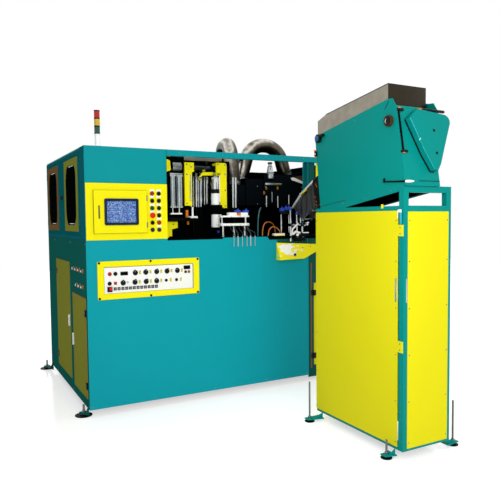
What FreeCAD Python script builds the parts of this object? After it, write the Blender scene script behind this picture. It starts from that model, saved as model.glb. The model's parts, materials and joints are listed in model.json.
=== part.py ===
"""Two-stage stretch blow moulding machine with its preform feeder.

The machine is a long sheet-steel cabinet on levelling feet.  A control tower
stands on its left end, a tube frame closes the top, and the blow station,
outfeed and heating oven stand on the bed between them.  A separate stand in
front of the right end carries an inclined preform hopper, whose chute leads
back down to the bed.

Frame: millimetres, +X to the machine's right, +Y to its back, +Z up.  Every
piece is drawn from the cabinet's front left corner, with heights counted from
a datum that lies floor_rise below the floor; corner_x, corner_y and floor_rise
carry the drawing to the row's frame, whose origin lies on the floor under the
middle of the whole machine.
"""
import FreeCAD
import Part
import Sketcher
import math
import os
import re

SIZES = {
    # where the cabinet's front left corner lies in the row's frame
    "corner_x": -1275.0, "corner_y": 26.7, "floor_rise": 32.0,
    # cabinet
    "machine_width": 2550.0, "machine_depth": 1666.0, "floor_gap": 90.0,
    "bed_top": 1388.0, "bed_plate": 30.0, "sheet": 3.0, "frame_tube": 50.0,
    "frame_top": 2100.0, "wall_top": 2092.0,
    "front_skin_end": 2010.0, "skin_step_x": 1141.0, "skin_left_top": 1372.0,
    "skin_right_top": 1383.0, "notch_x": 1574.0, "notch_drop": 30.0,
    "bay_post_x": 650.0, "side_post_y": 560.0,
    # control tower
    "tower_width": 648.0, "tower_depth": 173.0, "panel_top": 1823.0,
    "panel_plate": 3.0, "hatch_left": 61.0, "hatch_right": 477.0,
    "hatch_low": 1440.0, "hatch_high": 1767.0, "hatch_lap": 20.0, "hatch_thick": 12.0,
    "bezel_left": 140.0, "bezel_right": 406.0, "bezel_low": 1501.0,
    "bezel_high": 1705.0, "bezel_proud": 11.0, "bezel_rim": 15.0, "bezel_corner": 14.0,
    # push buttons
    "button_left_x": 523.0, "button_right_x": 578.0, "button_low_z": 1460.0,
    "button_step": 57.4, "button_stem": 12.0, "button_bore": 12.06,
    "button_head": 14.5, "button_gap": 5.0, "mushroom_head": 22.0,
    # side doors with windows
    "leaf_near": 178.0, "leaf_split": 896.0, "leaf_far": 1620.0,
    "leaf_low": 1424.0, "leaf_high": 2062.0, "leaf_thick": 18.0,
    "window_near": 240.0, "window_far": 1066.0, "window_width": 514.0,
    "window_low": 1452.0, "window_high": 2040.0, "window_border": 48.0,
    "window_radius": 105.0, "window_proud": 6.0,
    # cabinet doors on the left side
    "door_plate": 6.0, "door_gap": 3.0,
    "near_door_y": 50.0, "near_door_end": 530.0, "near_door_low": 165.0, "near_door_high": 945.0,
    "far_door_y": 640.0, "far_door_end": 1250.0, "far_door_low": 188.0, "far_door_high": 1190.0,
    # cabinet door at the front right
    "right_door_x": 2075.0, "right_door_end": 2488.0, "right_door_low": 178.0,
    "right_door_high": 941.0, "right_recess": 12.0,
    # heater instrument panel
    "heater_left": 79.0, "heater_right": 915.0, "heater_low": 931.0, "heater_high": 1225.0,
    "heater_rim_side": 49.0, "heater_rim_end": 44.0, "heater_proud": 8.0, "heater_corner": 9.0,
    "knob_radius": 13.0, "knob_proud": 16.0,
    # signal tower
    "signal_x": 112.0, "signal_y": 34.0, "signal_radius": 22.0, "signal_base": 96.0,
    "lens_high": 50.0, "lens_ring": 8.0,
    # blow station
    "station_y": 262.0, "platen_thick": 22.0, "platen_width": 88.0,
    "moving_platen_x": 909.0, "fixed_platen_x": 1211.0, "platen_low": 1660.0,
    "platen_high": 2036.0, "guide_z": 1992.0, "guide_radius": 19.0,
    "clamp_radius": 40.0, "stretch_radius": 27.0, "stretch_low": 1639.0,
    "stretch_high": 1921.0, "rod_radius": 7.0, "rod_bore": 7.05,
    "nozzle_x": 1172.0, "nozzle_y": 210.0, "back_plate_y": 388.0, "guide_y": 306.0,
    # outfeed
    "outfeed_left": 1150.0, "outfeed_right": 1420.0, "outfeed_y": 45.0, "outfeed_depth": 65.0,
    # oven and its exhaust ducts
    "oven_left": 1440.0, "oven_step": 1600.0, "oven_lamp": 1800.0, "oven_right": 2256.0,
    "oven_y": 450.0, "oven_depth": 620.0, "oven_low": 1665.0, "plenum_top": 1868.0,
    "oven_mid_top": 1925.0, "oven_top": 1975.0, "duct_radius": 70.0,
    "duct_bend": 205.0, "duct_crown": 2276.0,
    # levelling feet
    "foot_radius": 37.0, "foot_stud": 7.0, "wide_foot": 66.0, "wide_stud": 9.0,
    "lug_z": 58.0, "stand_stud": 330.0,
    # feeder stand
    "stand_left": 1503.0, "stand_right": 1903.0, "stand_front": -1764.0, "stand_back": -852.0,
    "stand_tube": 40.0, "stand_rail": 1570.0, "stand_top": 1730.0,
    # feeder casing, hopper and guard
    "casing_front": -1780.0, "casing_back": -838.0, "casing_wall": 4.0,
    "casing_right_low": 1790.0, "casing_right_high": 1852.0,
    "casing_knee_low": 1826.0, "casing_knee_high": 2140.0,
    "casing_near_top": 2272.0, "casing_far_top": 2141.0, "casing_flange": 62.0,
    "hopper_right": 1825.0, "hopper_wall": 3.0, "hopper_near": -1619.0, "hopper_far": -868.0,
    "guard_depth": 46.0, "guard_wall": 3.0, "casing_lean": 9.87,
    # preform chute, drawn along its own length and then turned toward the oven
    "chute_x": 1700.0, "chute_y": -838.0, "chute_turn": -14.0, "chute_wide": 96.0,
    "chute_plate": 4.0, "chute_long": 810.0, "chute_high": 2001.0, "chute_deep": 236.0,
    "chute_fall": 0.307,
    # reject tray
    "tray_reach": 60.0, "tray_sheet": 2.5,
}

doc = FreeCAD.newDocument("blow_moulding_machine")
sheet = doc.addObject("Spreadsheet::Sheet", "sizes")
for row, (alias, size) in enumerate(SIZES.items(), start=1):
    sheet.set("A%d" % row, alias)
    sheet.set("B%d" % row, str(size))
    sheet.setAlias("B%d" % row, alias)
doc.recompute()

ALIASES = re.compile(r"\b(%s)\b" % "|".join(sorted(SIZES, key=len, reverse=True)))
AXES = {"X": ((0, 1, 0), 90), "Y": ((1, 0, 0), -90), "Z": ((0, 0, 1), 0)}
NODES = []


def size(alias):
    """The driving dimension of that name, in millimetres."""
    return float(sheet.get(alias))


def bind(item, target, text):
    """Binds one property of an object to a formula of driving dimensions."""
    item.setExpression(target, ALIASES.sub(r"sizes.\1", str(text)))


def place(item, x=0, y=0, z=0):
    """Stands an object at a point measured from the cabinet's front left corner."""
    bind(item, "Placement.Base.x", "corner_x + (%s)" % x)
    bind(item, "Placement.Base.y", "corner_y + (%s)" % y)
    bind(item, "Placement.Base.z", "(%s) - floor_rise" % z)
    return item


def box(x, y, z, wide, deep, high):
    """A rectangular block from its lowest corner and its three sizes."""
    block = doc.addObject("Part::Box", "block")
    for target, text in (("Length", wide), ("Width", deep), ("Height", high)):
        bind(block, target, text)
    return place(block, x, y, z)


def span(x0, x1, y0, y1, z0, z1):
    """A rectangular block between two values on each axis."""
    sides = ["(%s) - (%s)" % pair for pair in ((x1, x0), (y1, y0), (z1, z0))]
    return box(x0, y0, z0, *sides)


def rod(axis, x, y, z, radius, length, flats=12):
    """A bar that starts at a point and runs along +X, +Y or +Z: many-sided, or round with no flats."""
    bar = doc.addObject("Part::Prism" if flats else "Part::Cylinder", "bar")
    direction, turn = AXES[axis]
    bar.Placement.Rotation = FreeCAD.Rotation(FreeCAD.Vector(*direction), turn)
    if flats:
        bar.Polygon = flats
    bind(bar, "Circumradius" if flats else "Radius", radius)
    bind(bar, "Height", length)
    return place(bar, x, y, z)


def add_loop(sketch, corners):
    """Adds a closed outline whose corners are bound to formulas."""
    first, count = sketch.GeometryCount, len(corners)
    ring = [FreeCAD.Vector(math.cos(2 * math.pi * k / count), math.sin(2 * math.pi * k / count), 0) * 100
            for k in range(count)]
    for k in range(count):
        sketch.addGeometry(Part.LineSegment(ring[k], ring[(k + 1) % count]))
    for k, corner in enumerate(corners):
        following = first + (k + 1) % count
        sketch.addConstraint(Sketcher.Constraint("Coincident", first + k, 2, following, 1))
        for kind, text, start in zip(("DistanceX", "DistanceY"), corner, ring[k]):
            number = sketch.addConstraint(Sketcher.Constraint(kind, -1, 1, first + k, 1, start))
            bind(sketch, "Constraints[%d]" % number, text)


def add_circle(sketch, across, up, radius):
    """Adds a circle whose centre and radius are bound to formulas."""
    centre = FreeCAD.Vector(10, 10, 0)
    circle = sketch.addGeometry(Part.Circle(centre, FreeCAD.Vector(0, 0, 1), 5))
    rows = (("DistanceX", (-1, 1, circle, 3, 10), across), ("DistanceY", (-1, 1, circle, 3, 10), up),
            ("Radius", (circle, 5), radius))
    for kind, values, text in rows:
        number = sketch.addConstraint(Sketcher.Constraint(kind, *values))
        bind(sketch, "Constraints[%d]" % number, text)


def draw(body, plane, offset, outline=None, holes=(), circles=()):
    """A sketch on one of the body's own origin planes, moved along its normal."""
    sketch = body.newObject("Sketcher::SketchObject", "outline")
    origin = [item for item in body.Origin.OriginFeatures if item.Role == plane + "_Plane"][0]
    sketch.AttachmentSupport = [(origin, "")]
    sketch.MapMode = "FlatFace"
    bind(sketch, ".AttachmentOffset.Base.z", offset)
    for loop in ([outline] if outline else []) + list(holes):
        add_loop(sketch, loop)
    for circle in circles:
        add_circle(sketch, *circle)
    return sketch


def frame_side(low_across, low_up, high_across, high_up):
    """The four corners of a rectangle."""
    return [(low_across, low_up), (high_across, low_up), (high_across, high_up), (low_across, high_up)]


def pad(body, plane, start, thick, outline=None, holes=(), circles=()):
    """Pads an outline from start to start + thick along the plane's row axis."""
    offset = "-((%s) + (%s))" % (start, thick) if plane == "XZ" else start
    feature = body.newObject("PartDesign::Pad", "plate")
    feature.Profile = draw(body, plane, offset, outline, holes, circles)
    bind(feature, "Length", thick)
    return feature


def pocket(body, plane, start, deep, outline=None, circles=()):
    """Cuts an outline from start to start + deep and makes sure that it removes metal."""
    doc.recompute()
    before = body.Shape.Volume
    offset = start if plane == "XZ" else "(%s) + (%s)" % (start, deep)
    sign = "-" if plane == "XZ" else ""
    feature = body.newObject("PartDesign::Pocket", "cut")
    feature.Profile = draw(body, plane, "%s(%s)" % (sign, offset), outline, (), circles)
    bind(feature, "Length", deep)
    doc.recompute()
    if body.Shape.Volume >= before:
        raise RuntimeError("a pocket of %s removes nothing" % body.Label)
    return feature


def plate(plane, start, thick, outline, holes=(), circles=()):
    """One flat piece of sheet or plate as its own body."""
    body = doc.addObject("PartDesign::Body", "plate_body")
    pad(body, plane, start, thick, outline, holes, circles)
    return place(body)


def round_edges(body, feature, radius, wanted):
    """Rounds the edges of a feature that pass a test."""
    doc.recompute()
    names = ["Edge%d" % (k + 1) for k, edge in enumerate(feature.Shape.Edges) if wanted(edge)]
    fillet = body.newObject("PartDesign::Fillet", "rounding")
    fillet.Base = (feature, names)
    bind(fillet, "Radius", radius)
    return fillet


def runs_along(edge, axis, length=None):
    """Whether a straight edge runs along a row axis and has about that length."""
    if edge.Curve.TypeId != "Part::GeomLine":
        return False
    parallel = abs(abs(edge.tangentAt(edge.FirstParameter).dot(FreeCAD.Vector(*axis))) - 1) < 1e-6
    return parallel and (length is None or abs(edge.Length - length) < 0.01)


def node(name, parts, cuts=(), welded=True):
    """Joins the pieces of one sub-part, takes its cuts away and gives it its name."""
    solid = parts[0]
    if len(parts) > 1:
        solid = doc.addObject("Part::MultiFuse" if welded else "Part::Compound", name + "_joined")
        if welded:
            solid.Shapes, solid.Refine = parts, True
        else:
            solid.Links = parts
    if cuts:
        tool = cuts[0]
        if len(cuts) > 1:
            tool = doc.addObject("Part::MultiFuse", name + "_tools")
            tool.Shapes = list(cuts)
        shaped = doc.addObject("Part::Cut", name + "_shaped")
        shaped.Base, shaped.Tool = solid, tool
        solid = shaped
    solid.Label = name
    NODES.append(solid)
    return solid


def route_wire(route, radii):
    """Straight runs through the route's points, joined by tangent arcs of the given radii."""
    points = [FreeCAD.Vector(*point) for point in route]
    edges, start = [], points[0]
    for corner, radius, after in zip(points[1:-1], radii, points[2:]):
        before = (start - corner).normalize()
        ahead = (after - corner).normalize()
        half = before.getAngle(ahead) / 2
        reach = radius / math.tan(half)
        enter, leave = corner + before * reach, corner + ahead * reach
        bisector = (before + ahead).normalize()
        middle = corner + bisector * (radius / math.sin(half) - radius)
        if (enter - start).Length > 1e-3:
            edges.append(Part.LineSegment(start, enter).toShape())
        edges.append(Part.Arc(enter, middle, leave).toShape())
        start = leave
    edges.append(Part.LineSegment(start, points[-1]).toShape())
    return Part.Wire(edges)


def tube(route, radii, outer, flats):
    """A many-sided tube or hose along a route, checked against its section times its length."""
    wire = route_wire(route, radii)
    across = FreeCAD.Vector(0, 0, 1).cross(wire.Edges[0].tangentAt(0))
    if across.Length < 0.5:
        across = FreeCAD.Vector(0, 1, 0)
    across.normalize()
    pieces = []
    for edge in wire.Edges:
        point, ahead = edge.valueAt(edge.FirstParameter), edge.tangentAt(edge.FirstParameter)
        across = (across - ahead * across.dot(ahead)).normalize()
        spokes = [FreeCAD.Rotation(ahead, 360 * k / flats).multVec(across) * outer for k in range(flats + 1)]
        section = Part.Face(Part.makePolygon([point + spoke for spoke in spokes]))
        if edge.Curve.TypeId == "Part::GeomLine":
            pieces.append(section.extrude(ahead * edge.Length))
            continue
        arc = edge.Curve
        angle = math.degrees(edge.Length / arc.Radius)
        pieces.append(section.revolve(arc.Center, arc.Axis, angle))
        across = FreeCAD.Rotation(arc.Axis, angle).multVec(across)
    solid = pieces[0].multiFuse(pieces[1:]).removeSplitter()
    expected = flats / 2 * math.sin(2 * math.pi / flats) * outer ** 2 * wire.Length
    if len(solid.Solids) != 1 or abs(solid.Volume / expected - 1) > 0.01:
        raise RuntimeError("a tube has the wrong volume")
    return solid.Solids[0]


def formed(name, shapes):
    """A sub-part whose shape is set here, carried to the row's frame by its placement."""
    item = doc.addObject("Part::Feature", name + "_shape")
    item.Shape = shapes[0] if len(shapes) == 1 else Part.makeCompound(shapes)
    place(item)
    item.Label = name
    NODES.append(item)
    return item


# --- cabinet ---------------------------------------------------------------------------------------

def base_frame():
    """Square tubes, cut to length and welded, that carry the bed and the skins."""
    left, right = "sheet", "machine_width - sheet - frame_tube"
    front, back = "sheet", "machine_depth - sheet - frame_tube"
    inner, recess = "front_skin_end - frame_tube - 10", "right_recess + sheet"
    post_low, post_high = "floor_gap + frame_tube", "bed_top - bed_plate - frame_tube"
    tubes = []
    for level in ("floor_gap", post_high):
        top = level + " + frame_tube"
        tubes.append(span(left, "machine_width - sheet", back, back + " + frame_tube", level, top))
        tubes.append(span(left, inner + " + frame_tube", front, front + " + frame_tube", level, top))
        tubes.append(span(inner + " + frame_tube", "machine_width - sheet", recess,
                          recess + " + frame_tube", level, top))
        for x in (left, "bay_post_x", inner):
            tubes.append(span(x, x + " + frame_tube", "sheet + frame_tube", back, level, top))
        tubes.append(span(right, right + " + frame_tube", recess + " + frame_tube", back, level, top))
    spots = [(x, y) for x in (left, "bay_post_x", inner) for y in (front, back)]
    spots += [(left, "side_post_y"), (right, recess), (right, back)]
    for x, y in spots:
        tubes.append(span(x, x + " + frame_tube", y, y + " + frame_tube", post_low, post_high))
    for x, y, root in foot_spots():
        wall = "0" if x.startswith("-") else "machine_width"
        tubes += foot_bracket(x, y, wall, root, 100, 70, "wide_stud")
    node("base_frame", tubes, welded=False)


def foot_bracket(x, y, wall, root, wide, rise, stud):
    """A lug under a levelling screw, with an upright gusset against the wall."""
    side = "-1" if wall in ("0", "stand_left") else "1"
    tip = "%s + (%s)*30" % (x, side)
    lug = plate("XY", "lug_z - 8", 8, [
        (wall, "%s - %d/2" % (root, wide)), (tip, "%s - %d/4" % (y, wide)), (tip, "%s + %d/4" % (y, wide)),
        ("%s + (%s)*10" % (wall, side), "%s + %d/4" % (y, wide)), (wall, "%s + %d/2" % (root, wide))],
        circles=[(x, y, stud + " + 0.04")])
    gusset = plate("XZ", "%s - %d/4 - 5" % (root, wide), 5, [
        (wall, "lug_z"), (wall, "lug_z + %d" % rise), (x, "lug_z + 4"), (x, "lug_z")])
    return [lug, gusset]


def foot_spots():
    """The machine's levelling feet: across, along and where each lug meets the wall."""
    spots = [("-28", "92", "62"), ("-38", "machine_depth + 70", "machine_depth - 52")]
    return spots + [("machine_width + 28", *spots[0][1:]), ("machine_width + 38", *spots[1][1:])]


def stand_foot_spots():
    """The feeder stand's levelling feet: across, along and where each lug meets the wall."""
    return [("stand_left - 48", "stand_front + 92", "stand_front + 92"),
            ("stand_left - 92", "stand_back - 36", "stand_back - 46"),
            ("stand_right + 78", "stand_front + 40", "stand_front + 50"),
            ("stand_right + 78", "stand_back - 36", "stand_back - 46")]


def levelling_feet():
    """Threaded studs on pads: wide ones under the machine, narrow ones under the stand."""
    spots = [(x, y, "foot_radius", "foot_stud", top) for (x, y, _), top
             in zip(stand_foot_spots(), ("150", "stand_stud", "stand_stud", "stand_stud"))]
    spots += [(x, y, "wide_foot", "wide_stud", "118") for x, y, _ in foot_spots()]
    feet = []
    for x, y, pad_radius, stud, top in spots:
        foot = doc.addObject("Part::MultiFuse", "foot")
        foot.Shapes = [rod("Z", x, y, "floor_rise", pad_radius, 7, 18),
                       rod("Z", x, y, "floor_rise", stud + " + 7", 16, 10),
                       rod("Z", x, y, "floor_rise", stud, top + " - floor_rise", 10)]
        foot.Refine = True
        feet.append(foot)
    node("levelling_feet", feet, welded=False)


def skins():
    """The bed plate and the sheet-steel walls of the cabinet."""
    node("bed_plate", [span("sheet", "machine_width - sheet", "sheet", "machine_depth - sheet",
                            "bed_top - bed_plate", "bed_top")])
    top = "skin_right_top"
    node("front_skin", [plate("XZ", 0, "sheet", [
        (0, "floor_gap"), ("front_skin_end", "floor_gap"), ("front_skin_end", top + " - 2.6*notch_drop"),
        (1676, top + " - 2.6*notch_drop"), (1676, top + " - notch_drop"),
        ("notch_x + notch_drop*0.8", top + " - notch_drop"), ("notch_x", top), ("skin_step_x", top),
        ("skin_step_x", "skin_left_top"), ("tower_width", "skin_left_top"),
        ("tower_width", "bed_top - 1"), (0, "bed_top - 1")])])
    gap = "door_gap"
    near = frame_side("near_door_y - " + gap, "near_door_low - " + gap, "near_door_end + " + gap,
                      "near_door_high + " + gap)
    far = frame_side("far_door_y - " + gap, "far_door_low - " + gap, "far_door_end + " + gap,
                     "far_door_high + " + gap)
    side = plate("YZ", 0, "sheet", frame_side("sheet", "floor_gap", "machine_depth - sheet", "bed_top - 1"),
                 holes=[near, far])
    sockets = [rod("X", -14, "%d" % (130 + 110 * k), 1148, 15, 14) for k in range(4)]
    sockets += [rod("X", -14, "%d" % (140 + 100 * k), 1023, 15, 14) for k in range(3)]
    node("left_skin", [side] + sockets)
    node("rear_wall", [span(0, "machine_width", "machine_depth - sheet", "machine_depth", "floor_gap",
                            "wall_top")])
    doorway = frame_side("right_door_x + 10", "right_door_low + 10", "right_door_end - 10",
                         "right_door_high - 10")
    surround = plate("XZ", "right_recess", "sheet", frame_side("front_skin_end - 6", "floor_gap",
                     "machine_width - sheet", "bed_top - bed_plate"), holes=[doorway])
    end = span("machine_width - sheet", "machine_width", "right_recess", "machine_depth - sheet",
               "floor_gap", "wall_top")
    node("right_wall", [end, surround])


def upper_frame():
    """The tube frame over the bed, from the tower to the right end."""
    t = "frame_tube"
    rails = [
        span("tower_width", "machine_width - sheet", 0, t, "frame_top - 48", "frame_top"),
        span(24, "machine_width - sheet", "machine_depth - sheet - " + t, "machine_depth - sheet",
             "wall_top - 50", "wall_top"),
        span("machine_width - sheet - " + t, "machine_width - sheet", t, "machine_depth - sheet - " + t,
             "wall_top - 50", "wall_top"),
        span(2000, 2014, 0, 26, "bed_top", "frame_top - 48"),
        span(2000, 2100, 26, "26 + " + t, "bed_top", "frame_top - 48"),
        span("machine_width - sheet - " + t, "machine_width - sheet", "15 + sheet", t, "bed_top",
             "frame_top - 48"),
        span(0, 24, "leaf_far + 3", "machine_depth - sheet", "bed_top", "wall_top"),
        span(0, 24, "tower_depth", "leaf_far + 3", "bed_top", "leaf_low - 3"),
        span(0, 24, "tower_depth", "leaf_far + 3", "leaf_high + 3", "frame_top - sheet"),
        span("machine_width - sheet - " + t, "machine_width - sheet", "machine_depth - sheet - " + t,
             "machine_depth - sheet", "bed_top", "wall_top - 50"),
        span("bay_post_x", "bay_post_x + " + t, "machine_depth - sheet - " + t, "machine_depth - sheet",
             "bed_top", "wall_top - 50"),
    ]
    node("upper_frame", rails, welded=False)
    node("upper_right_panel", [span(2106, "machine_width - sheet - 56", 14, 18, "bed_top + 62",
                                    "frame_top - 52")])


def tower():
    """The control tower: its shell with the roof over the bay, and the operator panel."""
    outer = span(0, "tower_width", 0, "tower_depth", "bed_top", "frame_top")
    inner = span("sheet", "tower_width - sheet", "sheet", "tower_depth - sheet", "bed_top - 1",
                 "frame_top - sheet")
    opening = span("sheet", "tower_width + 1", -1, "sheet", "bed_top - 1", "panel_top")
    roof = span(0, "tower_width", "tower_depth", "machine_depth - sheet", "frame_top - sheet", "frame_top")
    shell = doc.addObject("Part::Cut", "tower_box")
    shell.Base, shell.Tool = outer, inner
    node("tower_shell", [shell, roof], cuts=[opening])
    hatch = frame_side("hatch_left + hatch_lap", "hatch_low + hatch_lap", "hatch_right - hatch_lap",
                       "hatch_high - hatch_lap")
    bores = [rod("Y", x, -8, z, "button_bore", 12) for _, x, z in button_spots()]
    node("operator_panel", [plate("XZ", "-panel_plate", "panel_plate + sheet - 0.5", frame_side(
        4, "bed_top", "tower_width", "panel_top - 1"), holes=[hatch])], cuts=bores)


def button_spots():
    """Name, across and up of the two columns of six push buttons, from the top row down."""
    spots = []
    for row in range(6):
        for side in ("left", "right"):
            name = "stop_button" if (row, side) == (3, "left") else "button_%d_%s" % (row + 1, side)
            spots.append((name, "button_%s_x" % side, "button_low_z + %d*button_step" % (5 - row)))
    return spots


def buttons():
    """Push buttons: a stem through the panel and a stepped head in front of it."""
    for name, x, z in button_spots():
        head, rise = ("mushroom_head", 14) if name == "stop_button" else ("button_head", 8)
        front = "-panel_plate - button_gap - %d" % rise
        stem = rod("Y", x, front + " + 2", z, "button_stem", "%d + button_gap + 17" % rise)
        node(name, [stem, rod("Y", x, front, z, head, rise), rod("Y", x, front + " - 3", z, head + " - 3", 5)])


def operator_hatch():
    """The hinged hatch that carries the touch screen."""
    body = doc.addObject("PartDesign::Body", "hatch_body")
    leaf = pad(body, "XZ", "-panel_plate - 0.4 - hatch_thick", "hatch_thick",
               frame_side("hatch_left", "hatch_low", "hatch_right", "hatch_high"))
    pocket(body, "XZ", "-panel_plate - 0.4 - hatch_thick", 7, frame_side(92, 1548, 110, 1655))
    node("operator_hatch", [place(body)] + knuckles("hatch_right", "-panel_plate - 0.4 - hatch_thick", 4,
                                                    (1500, 1710), 40))
    front = "-panel_plate - 0.4 - hatch_thick"
    frame = doc.addObject("PartDesign::Body", "bezel_body")
    ring = pad(frame, "XZ", front + " - bezel_proud", "bezel_proud",
               frame_side("bezel_left", "bezel_low", "bezel_right", "bezel_high"),
               holes=[frame_side("bezel_left + bezel_rim", "bezel_low + bezel_rim",
                                 "bezel_right - bezel_rim", "bezel_high - bezel_rim")])
    round_edges(frame, ring, "bezel_corner",
                lambda edge: runs_along(edge, (0, 1, 0)) and abs(abs(edge.CenterOfMass.x - 273) - 133) < 1)
    node("screen_bezel", [place(frame)])
    node("screen_glass", [span("bezel_left + bezel_rim", "bezel_right - bezel_rim", front + " - 4", front,
                               "bezel_low + bezel_rim", "bezel_high - bezel_rim")])


def knuckles(x, y, radius, heights, long):
    """The round hinge knuckles of a door, all on one upright axis."""
    return [rod("Z", x, y, "%s - %s/2" % (height, long), radius, long, 0) for height in heights]


def window_doors():
    """The two leaves beside the blow bay, each with a framed window."""
    leaves = (("near", "leaf_near", "leaf_split - 3", "window_near"),
              ("far", "leaf_split + 3", "leaf_far", "window_far"))
    for side, start, end, window in leaves:
        right = "%s + window_width" % window
        lap = "window_border - 16"
        hole = frame_side("%s + %s" % (window, lap), "window_low + " + lap, "%s - (%s)" % (right, lap),
                          "window_high - (%s)" % lap)
        leaf = plate("YZ", 0, "leaf_thick", frame_side(start, "leaf_low", end, "leaf_high"), holes=[hole])
        pin = "leaf_near + 2" if side == "near" else "leaf_far - 2"
        node("window_door_" + side, [leaf] + knuckles(-3, pin, 5, (1525, 1965), 50))
        body = doc.addObject("PartDesign::Body", "window_body")
        inner = frame_side("%s + window_border" % window, "window_low + window_border",
                           "%s - window_border" % right, "window_high - window_border")
        rim = pad(body, "YZ", "-window_proud", "window_proud", frame_side(window, "window_low", right,
                                                                        "window_high"), holes=[inner])
        middle = size(window) + size("window_width") / 2
        half = size("window_width") / 2 - size("window_border")
        round_edges(body, rim, "window_radius", lambda edge, middle=middle, half=half: runs_along(
            edge, (1, 0, 0)) and abs(abs(edge.CenterOfMass.y - middle) - half) < 1)
        node("window_frame_" + side, [place(body)])
        node("window_glass_" + side, [span(
            0, 6, "%s + %s + 1" % (window, lap), "%s - (%s) - 1" % (right, lap),
            "window_low + %s + 1" % lap, "window_high - (%s) - 1" % lap)])


def cabinet_doors():
    """The two sheet doors on the left side and the one at the front right."""
    for side, grip in (("near", "near_door_end - 26"), ("far", "far_door_y + 14")):
        door = span("-4", "-4 + door_plate", side + "_door_y", side + "_door_end", side + "_door_low",
                    side + "_door_high")
        middle = "(%s_door_low + %s_door_high)/2" % (side, side)
        pull = span("-16", "-4", grip, grip + " + 12", middle + " - 46", middle + " + 46")
        pin, heights = ("near_door_y", (266, 828)) if side == "near" else ("far_door_end", (289, 1073))
        node("cabinet_door_" + side, [door, pull] + knuckles(-6, pin, 5, heights, 50))
    leaf = span("right_door_x", "right_door_end", "right_recess - 0.5 - door_plate", "right_recess - 0.5",
                "right_door_low", "right_door_high")
    node("cabinet_door_right", [leaf] + knuckles("right_door_x - 3", 4.5, 5, (263, 851), 50))


def heater_panel():
    """The heater instrument panel: its frame and its face with the knobs and keys."""
    body = doc.addObject("PartDesign::Body", "rim_body")
    face = ("heater_left + heater_rim_side", "heater_low + heater_rim_end",
            "heater_right - heater_rim_side", "heater_high - heater_rim_end")
    rim = pad(body, "XZ", "-heater_proud", "heater_proud",
              frame_side("heater_left", "heater_low", "heater_right", "heater_high"),
              holes=[frame_side(*face)])
    middle = (size("heater_left") + size("heater_right")) / 2
    half = (size("heater_right") - size("heater_left")) / 2
    round_edges(body, rim, "heater_corner", lambda edge: runs_along(edge, (0, 1, 0)) and abs(
        abs(edge.CenterOfMass.x - middle) - half) < 1)
    node("heater_panel_frame", [place(body)])
    parts = [span(face[0] + " + 0.2", face[2] + " - 0.2", -3, 0, face[1] + " + 0.2", face[3] + " - 0.2")]
    knobs = [(x, 1127) for x in (375, 460, 550, 637, 726)] + [(x, 1053) for x in (277, 371, 462, 549)]
    for x, z in knobs:
        parts.append(rod("Y", x, "-3 - knob_proud", z, "knob_radius", "knob_proud"))
    for x, z in ((173, 1127), (217, 1127), (171, 1053), (215, 1053)):
        parts.append(rod("Y", x, -13, z, 11, 10))
    for key in range(12):
        parts.append(rod("Y", 213 + 30.2 * key, -9, 1010, 7, 6, 8))
    parts += [span(156, 186, -11, -3, 994, 1022), span(262, 308, -7, -3, 1112, 1142),
              span(786, 834, -7, -3, 1138, 1162)]
    node("heater_panel_face", parts)


def signal_tower():
    """The signal tower on the control tower: its foot with the cap, and its lenses."""
    low, ring = "frame_top + signal_base", "lens_ring"
    parts = [rod("Z", "signal_x", "signal_y", "frame_top", "signal_radius + 7", 6, 16),
             rod("Z", "signal_x", "signal_y", "frame_top", "signal_radius - 3", "signal_base - 6", 16),
             rod("Z", "signal_x", "signal_y", low + " - 10", "signal_radius", 10, 16)]
    foot = doc.addObject("Part::MultiFuse", "signal_column")
    foot.Shapes = parts
    rings = [rod("Z", "signal_x", "signal_y", "%s + %d*lens_high + %d*%s" % (low, k, k - 1, ring),
                 "signal_radius", ring, 16) for k in (1, 2, 3)]
    node("signal_foot", [foot] + rings, welded=False)
    lenses = [rod("Z", "signal_x", "signal_y", "%s + %d*(lens_high + %s)" % (low, k, ring),
                  "signal_radius - 1", "lens_high", 16) for k in range(3)]
    node("signal_lenses", lenses, welded=False)


# --- blow station, oven and outfeed ------------------------------------------------------------------

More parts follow.
